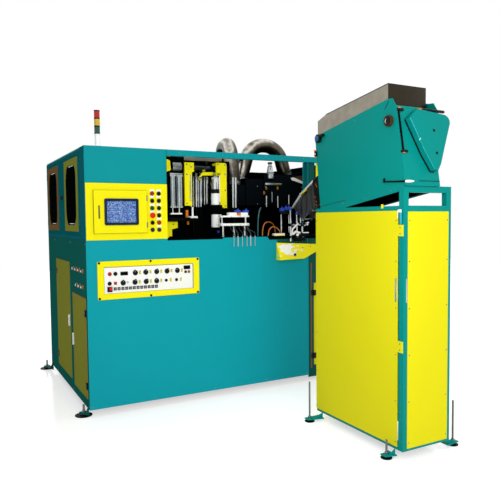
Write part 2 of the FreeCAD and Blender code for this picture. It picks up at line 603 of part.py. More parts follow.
def blow_station():
    """Clamp, stretch unit and blow nozzle, hung on a beam in front of a black plate."""
    front, thick = "station_y", "platen_thick"
    back = "station_y + platen_thick"
    right = "fixed_platen_x + platen_width + 12"
    fixed = plate("XZ", front, thick, [
        ("fixed_platen_x + 34", 1672), ("fixed_platen_x + 64", 1640), (right, 1640), (right, 2028),
        (right + " - 12", 2039), ("fixed_platen_x", 2039), ("fixed_platen_x", 1925),
        ("fixed_platen_x + 34", 1925)])
    arm = plate("XZ", back, 18, [
        (1052, 1904), (1090, 1926), ("fixed_platen_x + 20", 1930), ("fixed_platen_x + 20", 1950),
        (1176, 1956), (1088, 1954)])
    ribs = [span("fixed_platen_x", right, back, "back_plate_y - 36", 2014, 2036),
            span("tower_width", 752, back, "back_plate_y - 36", 2020, 2048)]
    cheek = plate("XZ", front, thick, [("tower_width", 1968), (752, 1948), (784, 1962), (778, 2040),
                                       (756, 2051), ("tower_width", 2051)])
    knee = plate("XZ", front, thick, [("tower_width", "bed_top"), (758, "bed_top"), (758, 1398), (786, 1398),
                                      (786, 1458), (838, 1470), (838, 1522), ("tower_width", 1522)])
    beam = span("tower_width", right, "back_plate_y - 36", "back_plate_y", 2014, 2050)
    header = span(940, 1312, "back_plate_y - 30", "back_plate_y", 2058, 2092)
    node("clamp_frame", [fixed, arm, cheek, knee] + ribs)
    body = doc.addObject("PartDesign::Body", "platen_body")
    pad(body, "XZ", front, thick + " - 0.5", [
        ("moving_platen_x", "platen_low"), ("moving_platen_x + 67", "platen_low"),
        ("moving_platen_x + 67", 1945), ("moving_platen_x + platen_width", 1957),
        ("moving_platen_x + platen_width", "platen_high - 4"), ("moving_platen_x", "platen_high - 4")])
    slot = frame_side("moving_platen_x + 36", 1700, "moving_platen_x + 46", 1850)
    pocket(body, "XZ", front, 8, slot)
    carriage = span("moving_platen_x", "moving_platen_x + 62", back + " - 0.5", "guide_y + 28",
                    "guide_z - 28", "guide_z + 20.5")
    bore = rod("X", "moving_platen_x - 1", "guide_y", "guide_z", "guide_radius + 0.06", 64)
    node("moving_platen", [place(body), carriage], cuts=[bore])
    barrel = rod("X", 790, "guide_y", "guide_z", "clamp_radius", "moving_platen_x - 790 - 4", 24)
    guide = rod("X", "moving_platen_x - 4", "guide_y", "guide_z", "guide_radius",
                "fixed_platen_x - moving_platen_x + 4 - 20")
    stop = span("fixed_platen_x - 46", "fixed_platen_x", back + " + 0.5", "guide_y + 24", "guide_z - 34",
                "guide_z + 21")
    strut = span("fixed_platen_x - 46", "fixed_platen_x", "guide_y + 24", "back_plate_y", "guide_z - 34",
                 "guide_z + 21")
    arm = span(800, 880, "guide_y + 30", "back_plate_y", "guide_z - 20", "guide_z + 21")
    node("clamp_cylinder", [barrel, guide, stop, strut, arm])
    tubes, holes, rods = [], [], []
    for x in (790, 849):
        tubes.append(rod("Z", x, 250, "stretch_low", "stretch_radius", "stretch_high - stretch_low", 24))
        holes.append(rod("Z", x, 250, "stretch_low - 1", "rod_bore", 181))
        rods.append(rod("Z", x, 250, 1596, "rod_radius", "stretch_low - 1596 + 130"))
    tubes.append(rod("Z", 898, "back_plate_y - 20", 1690, 19, 230))
    for x in (1010, 1062, 1106):
        tubes.append(rod("Z", x, "back_plate_y - 18", 1556, 13, 400))
    hanger = span(764, 876, 230, "station_y + platen_thick", "stretch_high", "stretch_high + 14")
    prop = span(764, 876, "station_y + platen_thick", "back_plate_y", "stretch_high - 20",
                "stretch_high + 14")
    node("stretch_cylinders", tubes + [hanger, prop], cuts=holes, welded=False)
    node("stretch_rods", rods + [span(768, 871, 234, 266, 1584, 1596)])
    node("blow_nozzle", [rod("Z", "nozzle_x", "nozzle_y", low, radius, high, 20)
                         for low, radius, high in ((1666, 36, 114), (1780, 38, 20), (1800, 33, 112))])
    rails = [span(744, 1012, y, y + 18, 1530, 1554) for y in (212, 300)]
    ties = [span(x, x + 26, 230, 300, 1530, 1554) for x in (744, 986)]
    legs = [span(x, x + 20, 303, 315, "bed_top", 1530) for x in (860, 988)]
    block = span("nozzle_x - 48", "nozzle_x + 48", 172, "back_plate_y", 1584, 1664)
    sleeve = rod("Z", "nozzle_x", "nozzle_y", 1470, 36, 114)
    braces = [span(x, x + 20, 318, "back_plate_y", 1530, 1554) for x in (760, 950)]
    back_plate = plate("XZ", "back_plate_y", 12, [
        ("tower_width + 4", "bed_top"), (1330, "bed_top"), (1330, 1940), (1346, 1956), (1346, 2078),
        (1332, 2092), ("tower_width + 4", 2092)])
    node("station_base", rails + ties + legs + braces + [block, sleeve, beam, header, back_plate],
         welded=False)


def outfeed():
    """The white guide plates in front of the station, with their posts and hanging rods."""
    left, right = "outfeed_left", "outfeed_right"
    back = "outfeed_y + outfeed_depth"
    plates = [span(left, right, "outfeed_y", back, 1556, 1570),
              span(left, right, "outfeed_y", back, 1482, 1503),
              span("outfeed_left + 80", "outfeed_left + 152", "outfeed_y + 6", back + " - 6", 1570, 1596),
              span("outfeed_right - 76", "outfeed_right - 8", "outfeed_y + 6", back + " - 6", 1570, 1596)]
    posts = [rod("Z", "outfeed_left + %d" % x, "outfeed_y + 32", "bed_top", 9, 1482 - 1388)
             for x in (30, 135, 240)]
    spacers = [rod("Z", "outfeed_left + %d" % x, "outfeed_y + 32", 1503, 12, 53) for x in (20, 250)]
    columns = [rod("Z", x, 300, "bed_top", 11, 528) for x in (1350, 1388)]
    node("outfeed_rails", plates + posts + spacers + columns, welded=False)


def oven():
    """The heating oven on its pedestal, stepped at the top, with a valve cylinder."""
    back = "oven_y + oven_depth"
    parts = [
        span("oven_left", "oven_step", "oven_y", back, "oven_low", "plenum_top"),
        span("oven_step", "oven_lamp", "oven_y", back, "oven_low", "oven_mid_top"),
        span("oven_lamp", "oven_right", "oven_y", back, "oven_low", "oven_top"),
        span("oven_left + 90", "oven_right - 90", "oven_y + 120", back + " - 60", "bed_top", "oven_low"),
        span("oven_lamp + 6", "oven_lamp + 190", "oven_y - 22", "oven_y", 1866, 1884),
    ]
    for low, radius, high in ((0, 38, 14), (14, 25, 60), (74, 17, 26), (100, 22, 12)):
        parts.append(rod("Z", "oven_lamp + 96", "oven_y + 40", "oven_top + %d" % low, radius, high, 16))
    node("oven_housing", parts)


def ducts():
    """Two smooth exhaust ducts that arch out of the oven, bent from straight tube."""
    low, deep = size("oven_low"), 900.0
    blocks = Part.makeBox(size("oven_step") - 1300, deep, size("plenum_top") - low,
                          FreeCAD.Vector(1300, 300, low))
    steps = (("oven_step", "oven_lamp", "oven_mid_top"), ("oven_lamp", "oven_right", "oven_top"))
    for left, right, top in steps:
        blocks = blocks.fuse(Part.makeBox(size(right) - size(left), deep, size(top) - low,
                                          FreeCAD.Vector(size(left), 300, low)))
    crown, bend = size("duct_crown"), size("duct_bend")
    outer = size("duct_radius")
    left, top = size("plenum_top"), size("oven_top")
    wide = [(1652, 690, left - 30), (1784, 690, crown), (2106, 690, crown), (2192, 690, top - 30)]
    narrow = [(1511, 526, left - 20), (1496, 560, crown - 16), (1560, 868, crown - 16),
              (1572, 907, left - 20)]
    pipes = [tube(wide, (bend, bend), outer, 12), tube(narrow, (bend * 0.72, bend * 0.72), outer, 12)]
    formed("oven_ducts", [pipe.cut(blocks) for pipe in pipes])


def air_hoses():
    """Thin air hoses that arch between the outfeed and the oven's front."""
    bed = size("bed_top")
    routes = [
        [(1560, 60, bed), (1560, 60, 1470), (1640, 120, 1520), (1762, 175, 1490), (1762, 175, bed)],
        [(1530, 90, bed), (1530, 90, 1560), (1640, 220, 1660), (1740, 400, 1610), (1740, 450, 1610)],
        [(1602, 30, bed), (1602, 30, 1440), (1680, 70, 1478), (1748, 60, 1430), (1748, 60, bed)],
    ]
    solids = []
    for route in routes:
        points = [FreeCAD.Vector(*point) for point in route]
        radii = []
        for before, corner, after in zip(points, points[1:], points[2:]):
            half = (before - corner).getAngle(after - corner) / 2
            radii.append(0.45 * min((corner - before).Length, (after - corner).Length) * math.tan(half))
        solids.append(tube(route, radii, 5, 6))
    formed("air_hoses", solids)


# --- preform feeder --------------------------------------------------------------------------------

def stand():
    """The feeder stand: its tube frame with foot brackets and its panels."""
    t = "stand_tube"
    left, right = "stand_left", "stand_right - " + t
    front, back = "stand_front", "stand_back - " + t
    tubes = [span(x, x + " + " + t, y, y + " + " + t, "floor_gap + " + t, "stand_rail")
             for x in (left, right) for y in (front, back)]
    for level in ("floor_gap", "stand_rail"):
        tubes += [span(left, "stand_right", y, y + " + " + t, level, level + " + " + t)
                  for y in (front, back)]
        tubes += [span(x, x + " + " + t, front + " + " + t, back, level, level + " + " + t)
                  for x in (left, right)]
    tubes += [span(x, x + " + " + t, front, front + " + " + t, "stand_rail + " + t, "stand_top - " + t)
              for x in (left, right)]
    tubes.append(span(left, "stand_right", front, front + " + " + t, "stand_top - " + t, "stand_top"))
    for x, y, root in stand_foot_spots():
        wall = left if "left" in x else "stand_right"
        tubes += foot_bracket(x, y, wall, root, 90, 34, "foot_stud")
    node("stand_frame", tubes, welded=False)
    skin, low = "sheet", "floor_gap + 16"
    panels = [
        span("stand_left + 34", "stand_right - 23", "stand_front - 3", "stand_front", low, 1574),
        span("stand_right", "stand_right + " + skin, "stand_front + 16", "stand_back - 16", low, 1574),
        span("stand_left + 16", "stand_right - 16", "stand_back", "stand_back + " + skin, low, 1574)]
    node("stand_panels", panels, welded=False)
    near, far = "stand_front + 46", "stand_back - 2"
    leaf = span("stand_left - 6.5", "stand_left - 0.5", near, far, "floor_gap + 20", 1580)
    straps = [span("stand_left - 6.5", "stand_left - 0.5", "stand_front", near, low, low + 70)
              for low in (708, 1424)]
    node("stand_side_panel", [leaf] + straps)


def casing_block(inset, raise_top):
    """The feeder casing's outer form, or the room inside it when an inset is given."""
    body = doc.addObject("PartDesign::Body", "casing_body")
    grow = "%s" % inset
    side = [("casing_front + " + grow, "stand_top + " + grow),
            ("stand_front + stand_tube + %s" % grow, "stand_top + " + grow),
            ("stand_front + stand_tube + 4 + %s" % grow, "stand_top - 34 + " + grow),
            ("-1189", "stand_rail + stand_tube + " + grow),
            ("-904 - " + grow, "stand_rail + stand_tube + " + grow),
            ("casing_back - " + grow, "casing_far_top + %s" % raise_top),
            ("-1619", "casing_near_top + %s" % raise_top),
            ("-1662 + " + grow, "casing_near_top - 4 + %s" % raise_top),
            ("-1696 + " + grow, "casing_near_top - 58")]
    wide = "casing_right_high - stand_left - 2*(%s)" % grow
    pad(body, "YZ", "stand_left + " + grow, wide, side)
    right = "casing_right_low - " + grow
    slope = [(right, 1500), (right, "casing_knee_low + " + grow),
             ("casing_right_high - " + grow, "casing_knee_high + " + grow),
             ("casing_right_high + 5", "casing_knee_high"),
             ("casing_right_high + 5", 1500)]
    pocket(body, "XZ", -1900, 1200, slope)
    return place(body)


def feeder():
    """The inclined casing of the feeder with its open hopper, guard and trim."""
    shell = doc.addObject("Part::Cut", "casing_shell")
    shell.Base, shell.Tool = casing_block(0, 0), casing_block("casing_wall", -4)
    wall = "casing_wall"
    mouth = span("stand_left + " + wall, "hopper_right", "hopper_near", "hopper_far", 2100, 2300)
    gap = span("stand_left + " + wall, "casing_right_high - " + wall, "-1691", "hopper_near", 2190, 2300)
    exit_slot = span("chute_x + 8", "chute_x + chute_wide - 8", -880, -820, 1800, 1985)
    open_floor = span("stand_left + casing_flange", "casing_right_low - " + wall, -1716, -940, 1590, 1712)
    bearing = rod("X", "stand_left - 20", -1640, 2133, 34, 20)
    sensor = rod("X", "stand_left - 26", -893, 2120, 20, 26)
    node("feeder_casing", [shell, bearing, sensor], cuts=[mouth, gap, exit_slot, open_floor])
    body = doc.addObject("PartDesign::Body", "hopper_body")
    pad(body, "YZ", "stand_left + " + wall, "hopper_right - stand_left - " + wall, [
        ("hopper_near", 2190), ("hopper_near", 2369), (-971, 2284), ("hopper_far", 2250),
        ("hopper_far", 2075)])
    inside = frame_side("stand_left + casing_wall + hopper_wall", "hopper_near + hopper_wall",
                        "hopper_right - hopper_wall", "hopper_far - hopper_wall")
    pocket(body, "XY", 2000, 500, inside)
    node("hopper", [place(body)])


def casing_bars():
    """Slim bars on the casing: one upright, one level and one along the guard's top."""
    lean = size("casing_lean")
    upright = rod("Z", "stand_left + 9", -1751, 1934, 6, 262)
    upright.Placement.Rotation = FreeCAD.Rotation(FreeCAD.Vector(1, 0, 0), -lean)
    clips = [span("stand_left - 2", "stand_left + 38", -1760, -1736, 1930, 1946),
             span("stand_left + 2", "stand_left + 44", -1716, -1690, 2186, 2202)]
    level = [rod("Z", "stand_left - 6", along, height, radius, reach) for along, height, radius, reach
             in ((-1600, 1763, 5, 192), (-1790, 1754, 9, 64))]
    for piece in level:
        piece.Placement.Rotation = FreeCAD.Rotation(FreeCAD.Vector(1, 0, 0), 92.7)
    tick = span("stand_left - 11", "stand_left", -1600, -1590, 1757, 1784)
    mount = span("stand_left - 6", "stand_left", -1770, -1740, 1752, 1762)
    top = rod("X", "stand_left + 186", "-1712", 2206, 8, 194)
    hold = span("stand_left + 200", "stand_left + 220", "-1708", "-1688", 2194, 2206)
    node("casing_bars", [upright, tick, mount, top, hold] + level + clips, cuts=[casing_block(0, 0)])


def chute():
    """The inclined preform chute: two pierced side plates, their top rails and ties."""
    def height(along, below):
        return "chute_high - chute_fall*(%s) - (%s)" % (along, below)

    def side(across):
        far = "chute_long"
        outline = [(-60, height(-60, "chute_deep")), (far, height(far, "chute_deep")), (far, height(far, 0)),
                   (-60, height(-60, 0))]
        holes = []
        for k in range(6):
            start, end = 50 + 124 * k, 50 + 124 * k + 96
            holes.append([(start, height(start, "chute_deep - 22")), (end, height(end, "chute_deep - 22")),
                          (end, height(end, 34)), (start, height(start, 34))])
        return plate("YZ", across, "chute_plate", outline, holes)

    def strip(across, wide, below, thick, start, end):
        return plate("YZ", across, wide, [
            (start, height(start, "%s + %s" % (below, thick))),
            (end, height(end, "%s + %s" % (below, thick))),
            (end, height(end, below)), (start, height(start, below))])

    groups = [[side(0), strip(-8, 34, -5, 5, -60, "chute_long")],
              [side("chute_wide - chute_plate"), strip("chute_wide - 26", 34, -5, 5, -60, "chute_long")]]
    for along in (10, 280, 550, 780):
        groups.append([strip("chute_plate", "chute_wide - 2*chute_plate", "chute_deep - 14", 6, along,
                             "%d + 20" % along)])
    turn = FreeCAD.Rotation(FreeCAD.Vector(0, 0, 1), size("chute_turn"))
    solids = []
    for group in groups:
        for part in group:
            part.Placement.Rotation = turn
            place(part, "chute_x", "chute_y", 0)
        if len(group) > 1:
            welded = doc.addObject("Part::MultiFuse", "chute_side")
            welded.Shapes = group
            group = [welded]
        solids += group
    node("preform_chute", solids, cuts=[casing_block(0, 0)], welded=False)


def infeed():
    """Posts and clamped rods on the bed's front edge that hold the chute's lower end."""
    spots = ((1808, 1640), (1875, 1600), (1932, 1500))
    parts = [span(1790, 1960, -6, "sheet", "bed_top - 26", "bed_top - 4")]
    for x, top in spots:
        parts.append(span(x - 12, x + 12, -26, "sheet", "bed_top - 26", "bed_top - 4"))
        parts.append(rod("Z", x, -14, "bed_top - 53", 8, "%d - bed_top + 53" % top))
        parts.append(span(x - 14, x + 14, -28, 0, 1470, 1496))
    for x, reach in ((1822, 39), (1889, 29), (1946, 50)):
        parts.append(rod("X", x, -14, 1483, 7, reach))
    parts.append(span(1914, 1950, -64, -28, 1484, 1496))
    node("infeed_posts", parts)


def tray():
    """The reject tray: a folded pan, open to the back and at the top."""
    fold_left, fold_right, back_left = (1676, -60, 1204), (1853, -60, 1265), (1667, 0, 1323.5)
    first = FreeCAD.Vector(*fold_right) - FreeCAD.Vector(*fold_left)
    normal = first.cross(FreeCAD.Vector(*back_left) - FreeCAD.Vector(*fold_left)).normalize()
    turn = FreeCAD.Rotation(first, normal.cross(first), normal, "XZY")

    def pan(inset):
        edge = "%s*tray_sheet" % inset
        outline = [("1668 + " + edge, "1173 + " + edge), ("1926 + " + edge, "1179 + " + edge),
                   ("2056 - " + edge, "1239 + " + edge), ("2056 - " + edge, "1306 + %s*20" % inset),
                   ("1668 + " + edge, "1326 + %s*20" % inset)]
        block = plate("XZ", "%s - tray_reach" % edge, "tray_reach + %s" % inset, outline)
        corner = FreeCAD.Vector(*fold_left) - first.normalize() * 300 - normal.cross(first).normalize() * 300
        corner = corner - normal * (inset * size("tray_sheet"))
        tool = box(corner.x, corner.y, corner.z, 900, 900, 200)
        tool.Placement.Rotation = turn
        cut = doc.addObject("Part::Cut", "folded")
        cut.Base, cut.Tool = block, tool
        return cut

    node("reject_tray", [pan(0)], cuts=[pan(1)])


def guard():
    """The kite-shaped cover over the feeder's belt drive: a pan open at the back and top."""
    body = doc.addObject("PartDesign::Body", "guard_body")
    outline = [(128, 470), (55, 412), (150, 198), (211, 93), (239, 90), (270, 134), (311, 225), (391, 397),
               (391, 418), (380, 437), (358, 449)]
    front = pad(body, "XZ", "-guard_depth", "guard_depth", outline)
    doc.recompute()
    faces = ["Face%d" % (k + 1) for k, face in enumerate(front.Shape.Faces)
             if face.normalAt(0, 0).y > 0.99 or face.normalAt(0, 0).z > 0.99]
    hollow = body.newObject("PartDesign::Thickness", "hollow")
    hollow.Base = (front, faces)
    bind(hollow, "Value", "guard_wall")
    hollow.Reversed = True
    body.Placement.Rotation = FreeCAD.Rotation(FreeCAD.Vector(1, 0, 0), -size("casing_lean"))
    place(body, "stand_left", "casing_front - 0.4", "stand_top")
    node("drive_guard", [body])


def build():
    """Builds every sub-part in turn."""
    for make in (base_frame, levelling_feet, skins, upper_frame, tower, buttons, operator_hatch,
                 window_doors, cabinet_doors, heater_panel, signal_tower, blow_station, outfeed, oven, ducts, air_hoses,
                 stand, feeder, casing_bars, guard, chute, infeed, tray):
        make()
        print("built", make.__name__, flush=True)


def write():
    """Checks every object, then writes one STEP file for each sub-part."""
    doc.recompute()
    for item in doc.Objects:
        if "Invalid" in item.State or "Error" in item.State:
            raise RuntimeError("%s failed: %s" % (item.Label, item.State))
    os.makedirs("parts", exist_ok=True)
    bounds = FreeCAD.BoundBox()
    for item in NODES:
        if item.Shape.isNull() or not item.Shape.isValid() or not item.Shape.Solids:
            raise RuntimeError("%s has no valid solid" % item.Label)
        item.Shape.exportStep("parts/%s.step" % item.Label)
        bounds.add(item.Shape.BoundBox)
        print("%-22s %2d solids %9.0f cm3" % (item.Label, len(item.Shape.Solids), item.Shape.Volume / 1000))
    print(len(NODES), "nodes", bounds)


build()
write()
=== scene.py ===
"""Stretch blow moulding machine with its preform feeder.

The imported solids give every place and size.  This file gives them their
finishes, adds the fittings that are too small for the solids, and sets the
machine in a plain pale studio.  Sizes are written in millimetres from the
cabinet's front left corner, as in the machine's drawings, and spot() carries
them to the frame in metres.
"""
from __future__ import annotations

import json
import logging
import math
from dataclasses import dataclass, field
from enum import Enum
from typing import ClassVar, Iterable, Sequence

import bmesh
import bpy
from mathutils import Matrix, Vector

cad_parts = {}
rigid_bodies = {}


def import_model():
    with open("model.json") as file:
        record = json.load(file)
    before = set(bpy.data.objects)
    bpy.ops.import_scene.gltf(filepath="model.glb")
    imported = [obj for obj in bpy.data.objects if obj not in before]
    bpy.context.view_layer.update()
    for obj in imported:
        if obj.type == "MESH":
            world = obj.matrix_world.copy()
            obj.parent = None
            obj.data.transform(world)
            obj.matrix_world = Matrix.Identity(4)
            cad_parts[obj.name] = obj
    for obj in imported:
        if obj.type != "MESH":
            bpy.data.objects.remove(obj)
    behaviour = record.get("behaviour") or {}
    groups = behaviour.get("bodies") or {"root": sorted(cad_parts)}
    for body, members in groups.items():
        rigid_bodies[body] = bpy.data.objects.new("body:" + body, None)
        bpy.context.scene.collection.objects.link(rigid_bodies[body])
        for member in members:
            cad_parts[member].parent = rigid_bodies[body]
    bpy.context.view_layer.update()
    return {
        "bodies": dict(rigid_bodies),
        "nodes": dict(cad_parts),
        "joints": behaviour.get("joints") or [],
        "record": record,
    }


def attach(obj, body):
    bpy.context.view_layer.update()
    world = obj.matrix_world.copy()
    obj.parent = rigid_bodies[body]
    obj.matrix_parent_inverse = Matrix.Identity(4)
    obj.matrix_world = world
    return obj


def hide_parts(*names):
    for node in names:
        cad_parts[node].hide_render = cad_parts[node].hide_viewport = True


LOG = logging.getLogger("blow_moulding_machine")

Point = tuple[float, float, float]
Span = tuple[float, float]
Inputs = dict[str | int, object]

FLOOR = 32.0
BED_TOP = 1388.0
HEAD_TOP = 2100.0
LONG = 2550.0
DEEP = 1666.0
CORNER = Vector((-LONG / 2, 26.7, -FLOOR))


class Body(Enum):
    """The bodies that pieces ride on."""

    MACHINE = "machine"
    HATCH = "operator_hatch_body"
    WINDOW_NEAR = "window_near_body"
    WINDOW_FAR = "window_far_body"
    DOOR_NEAR = "cabinet_near_body"
    DOOR_FAR = "cabinet_far_body"
    DOOR_RIGHT = "cabinet_right_body"
    PLATEN = "platen_body"
    STRETCH = "stretch_body"


def spot(x: float, y: float, z: float) -> Vector:
    """Carries a point from the drawing to the frame.

    Args:
        x: Millimetres to the right of the cabinet's left face.
        y: Millimetres behind the cabinet's front face.
        z: Millimetres above the drawing's datum.

    Returns:
        The point in metres in the row's frame.
    """
    return (Vector((x, y, z)) + CORNER) / 1000.0


# --- finishes ---


def linear(code: str) -> tuple[float, float, float, float]:
    """Turns an sRGB hex colour into linear red, green, blue and alpha.

    Args:
        code: A colour such as "#1B9FA5".

    Returns:
        Four numbers from 0 to 1.
    """
    values = [int(code[k : k + 2], 16) / 255.0 for k in (1, 3, 5)]
    red, green, blue = [v / 12.92 if v <= 0.04045 else ((v + 0.055) / 1.055) ** 2.4 for v in values]
    return red, green, blue, 1.0


def fill(node: bpy.types.Node, inputs: Inputs) -> None:
    """Gives a node's inputs their numbers, colours or incoming sockets.

    Args:
        node: The node.
        inputs: What each input gets.
    """
    for name, value in inputs.items():
        if isinstance(value, bpy.types.NodeSocket):
            node.id_data.links.new(value, node.inputs[name])
        else:
            node.inputs[name].default_value = value


def add_node(
    tree: bpy.types.NodeTree, kind: str, inputs: Inputs | None = None, output: str | int = 0,
    **settings: object) -> bpy.types.NodeSocket:
    """Adds one node with its settings and inputs.

    Args:
        tree: The tree that gets the node.
        kind: The node's type, without ShaderNode.
        inputs: What each of its inputs gets.
        output: The output that is wanted.
        **settings: Properties of the node itself.

    Returns:
        The wanted output.
    """
    node = tree.nodes.new("ShaderNode" + kind)
    for name, value in settings.items():
        setattr(node, name, value)
    fill(node, inputs or {})
    return node.outputs[output]


class Coat:
    """A material in the making, whose patterns lie on Object coordinates."""

    def __init__(self, name: str, colour: str, roughness: float) -> None:
        """Starts a material with a plain shader.

        Args:
            name: The material's name.
            colour: Its main colour as sRGB hex.
            roughness: Its roughness.
        """
        self.material = bpy.data.materials.new(name)
        self.material.use_nodes = True
        self.tree = self.material.node_tree
        self.shader = self.tree.nodes["Principled BSDF"]
        self.colour = self.material.diffuse_color = linear(colour)
        self.put({"Base Color": self.colour, "Roughness": roughness})

    def put(self, inputs: Inputs) -> None:
        """Gives the shader's inputs their values."""
        fill(self.shader, inputs)

    def cloud(
        self, patch_mm: Point, detail: float = 2.0, limits: Span | None = None) -> bpy.types.NodeSocket:
        """A cloudy pattern whose patches have a real size.

        Args:
            patch_mm: Size of a patch along X, Y and Z in millimetres.
            detail: Octaves of the pattern.
            limits: Two values that its middle range is spread over, in place of 0 to 1.

        Returns:
            The pattern's socket.
        """
        place = add_node(self.tree, "TexCoord", output="Object")
        sizes = tuple(1000.0 / size for size in patch_mm)
        scaled = add_node(self.tree, "Mapping", {"Vector": place, "Scale": sizes})
        noise = add_node(self.tree, "TexNoise", {"Vector": scaled, "Scale": 1.0, "Detail": detail}, "Fac")
        if limits is None:
            return noise
        spread = {"From Min": 0.3, "From Max": 0.7, "To Min": limits[0], "To Max": limits[1]}
        return add_node(self.tree, "MapRange", {"Value": noise, **spread})

    def drift(self, patch_mm: Point, detail: float, most: float, other: str) -> None:
        """Lets the colour drift towards another one in cloudy patches.

        Args:
            patch_mm: Size of a patch along X, Y and Z in millimetres.
            detail: Octaves of the patches.
            most: How far the colour drifts where it drifts most.
            other: The colour at a drift of 1.
        """
        patches = self.cloud(patch_mm, detail, (0.0, most))
        mixed = add_node(
            self.tree, "Mix", {0: patches, 6: self.colour, 7: linear(other)}, 2, data_type="RGBA")
        self.put({"Base Color": mixed})

    def grain(self, patch_mm: Point, detail: float, deep_mm: float) -> None:
        """Raises the surface in a cloudy grain.

        Args:
            patch_mm: Size of a grain along X, Y and Z in millimetres.
            detail: Octaves of the grain.
            deep_mm: Height of its peaks in millimetres.
        """
        height = self.cloud(patch_mm, detail)
        raised = add_node(
            self.tree, "Bump", {"Height": height, "Strength": 1.0, "Distance": deep_mm / 1000.0})
        self.put({"Normal": raised})


@dataclass(frozen=True)
class Finish:
    """What a surface is made of and how it was finished.

    Attributes:
        name: The finish in a maker's words.
        colour: Its main colour as sRGB hex.
        roughness: Mean roughness of the surface.
        slot: The record's material slot that it belongs to.
    """

    name: str
    colour: str
    roughness: float = 0.4
    slot: str = ""

    def material(self) -> bpy.types.Material:
        """Makes the finish's material on first use and finds it again later.

        Returns:
            The material.
        """
        made = bpy.data.materials.get(self.name)
        if made is None:
            coat = Coat(self.name, self.colour, self.roughness)
            self.dress(coat)
            made = coat.material
        return made

    def dress(self, coat: Coat) -> None:
        """Adds the finish's own pattern to a plain coat."""


@dataclass(frozen=True)
class Enamel(Finish):
    """Sprayed machine enamel on sheet steel: smooth, with a faint orange peel.

    Attributes:
        shade_to: Colour of the slightly duller patches.
        gloss: Specular level of the top layer.
    """

    shade_to: str = "#000000"
    gloss: float = 0.14

    def dress(self, coat: Coat) -> None:
        """Adds dull patches 450 mm wide, handling marks and a peel drawn 9 mm wide so that it shows.

        Args:
            coat: The material in the making.
        """
        coat.drift((450.0, 450.0, 450.0), 3.0, 0.10, self.shade_to)
        marks = coat.cloud((70.0, 70.0, 160.0), 4.0, (self.roughness - 0.06, self.roughness + 0.08))
        coat.put({"Specular IOR Level": self.gloss, "Roughness": marks})
        coat.grain((9.0, 9.0, 9.0), 1.0, 0.02)


@dataclass(frozen=True)
class Metal(Finish):
    """Bare metal that was drawn, turned, milled or rolled.

    Attributes:
        grain_mm: Size of a tool mark along X, Y and Z.
        stain: Colour of the oil film and dust on it.
        mark_mm: Depth of the tool marks.
    """

    grain_mm: Point = (60.0, 60.0, 1.5)
    stain: str = "#4A4640"
    mark_mm: float = 0.01

    def dress(self, coat: Coat) -> None:
        """Adds tool marks along the grain and a thin uneven oil film.

        Args:
            coat: The material in the making.
        """
        coat.drift((55.0, 55.0, 55.0), 3.0, 0.28, self.stain)
        marks = coat.cloud(self.grain_mm, 2.0, (self.roughness * 0.75, self.roughness * 1.3))
        coat.put({"Metallic": 1.0, "Roughness": marks})
        coat.grain(self.grain_mm, 2.0, self.mark_mm)


@dataclass(frozen=True)
class EnamelWithPaintedHighlight(Enamel):
    """Enamel with a painted highlight: a pale ragged patch in one place where light glints off it.

    Attributes:
        glint: Colour of the painted highlight.
        centre: Its middle in drawing millimetres.
        reach: How far it goes along X, Y and Z.
    """

    glint: str = "#FBFBF4"
    centre: Point = (1762.0, -40.0, 1270.0)
    reach: Point = (100.0, 80.0, 50.0)

    def dress(self, coat: Coat) -> None:
        """Adds the enamel and a ragged painted highlight, its edge broken up 30 mm wide.

        Args:
            coat: The material in the making.
        """
        super().dress(coat)
        tree = coat.tree
        place = add_node(tree, "TexCoord", output="Object")
        near = add_node(tree, "VectorMath", {0: place, 1: tuple(spot(*self.centre))}, operation="SUBTRACT")
        sizes = tuple(1000.0 / size for size in self.reach)
        scaled = add_node(tree, "VectorMath", {0: near, 1: sizes}, operation="MULTIPLY")
        away = add_node(tree, "VectorMath", {0: scaled}, "Value", operation="LENGTH")
        cloud = coat.cloud((60.0, 60.0, 24.0), 1.0, (-0.7, 0.7))
        ragged = add_node(tree, "Math", {0: away, 1: cloud}, operation="ADD")
        limits = {"From Min": 0.82, "From Max": 0.90, "To Min": 1.0, "To Max": 0.0}
        edge = add_node(tree, "MapRange", {"Value": ragged, **limits})
        enamel = coat.shader.inputs["Base Color"].links[0].from_socket
        mixed = add_node(tree, "Mix", {0: edge, 6: enamel, 7: linear(self.glint)}, 2, data_type="RGBA")
        coat.put({"Base Color": mixed})


@dataclass(frozen=True)
class TubeWithPaintedSheen(Metal):
    """Polished stainless tube with painted light: a bright painted highlight streak on the side that faces
    upward and brownish painted shade on its flanks, broken up in cloudy patches.

    Attributes:
        sheen_steps: Place and colour of each step of the painted light, from the painted shade on the flanks
            through the painted highlight to the side that faces upward.
        upward: Direction that the lit side, with the painted highlight, faces.
    """

    sheen_steps: tuple[tuple[float, str], ...] = (
        (0.0, "#2C2821"), (0.36, "#3A352D"), (0.64, "#6F685D"), (0.82, "#E0DBD0"), (1.0, "#6E675C"))
    upward: Point = (-0.52, -0.45, 0.72)

    def dress(self, coat: Coat) -> None:
        """Adds the painted highlight streak and the painted shade on the flanks, broken up in cloudy patches
        70 mm wide.

        Args:
            coat: The material in the making.
        """
        super().dress(coat)
        # Painted light: lighter where the normal faces the upward direction, darker on the flanks.
        normal = add_node(coat.tree, "NewGeometry", output="Normal")
        facing_light = add_node(
            coat.tree, "VectorMath", {0: normal, 1: self.upward}, "Value", operation="DOT_PRODUCT")
        cloud = coat.cloud((70.0, 70.0, 70.0), 3.0, (-0.10, 0.10))
        uneven = add_node(coat.tree, "Math", {0: facing_light, 1: cloud}, operation="ADD")
        painted_sheen = add_node(coat.tree, "ValToRGB", {0: uneven})
        steps = painted_sheen.node.color_ramp.elements
        steps[0].color, steps[1].color = linear(self.sheen_steps[0][1]), linear(self.sheen_steps[-1][1])
        for at, code in self.sheen_steps[1:-1]:
            steps.new(at).color = linear(code)
        coat.put({"Base Color": painted_sheen})


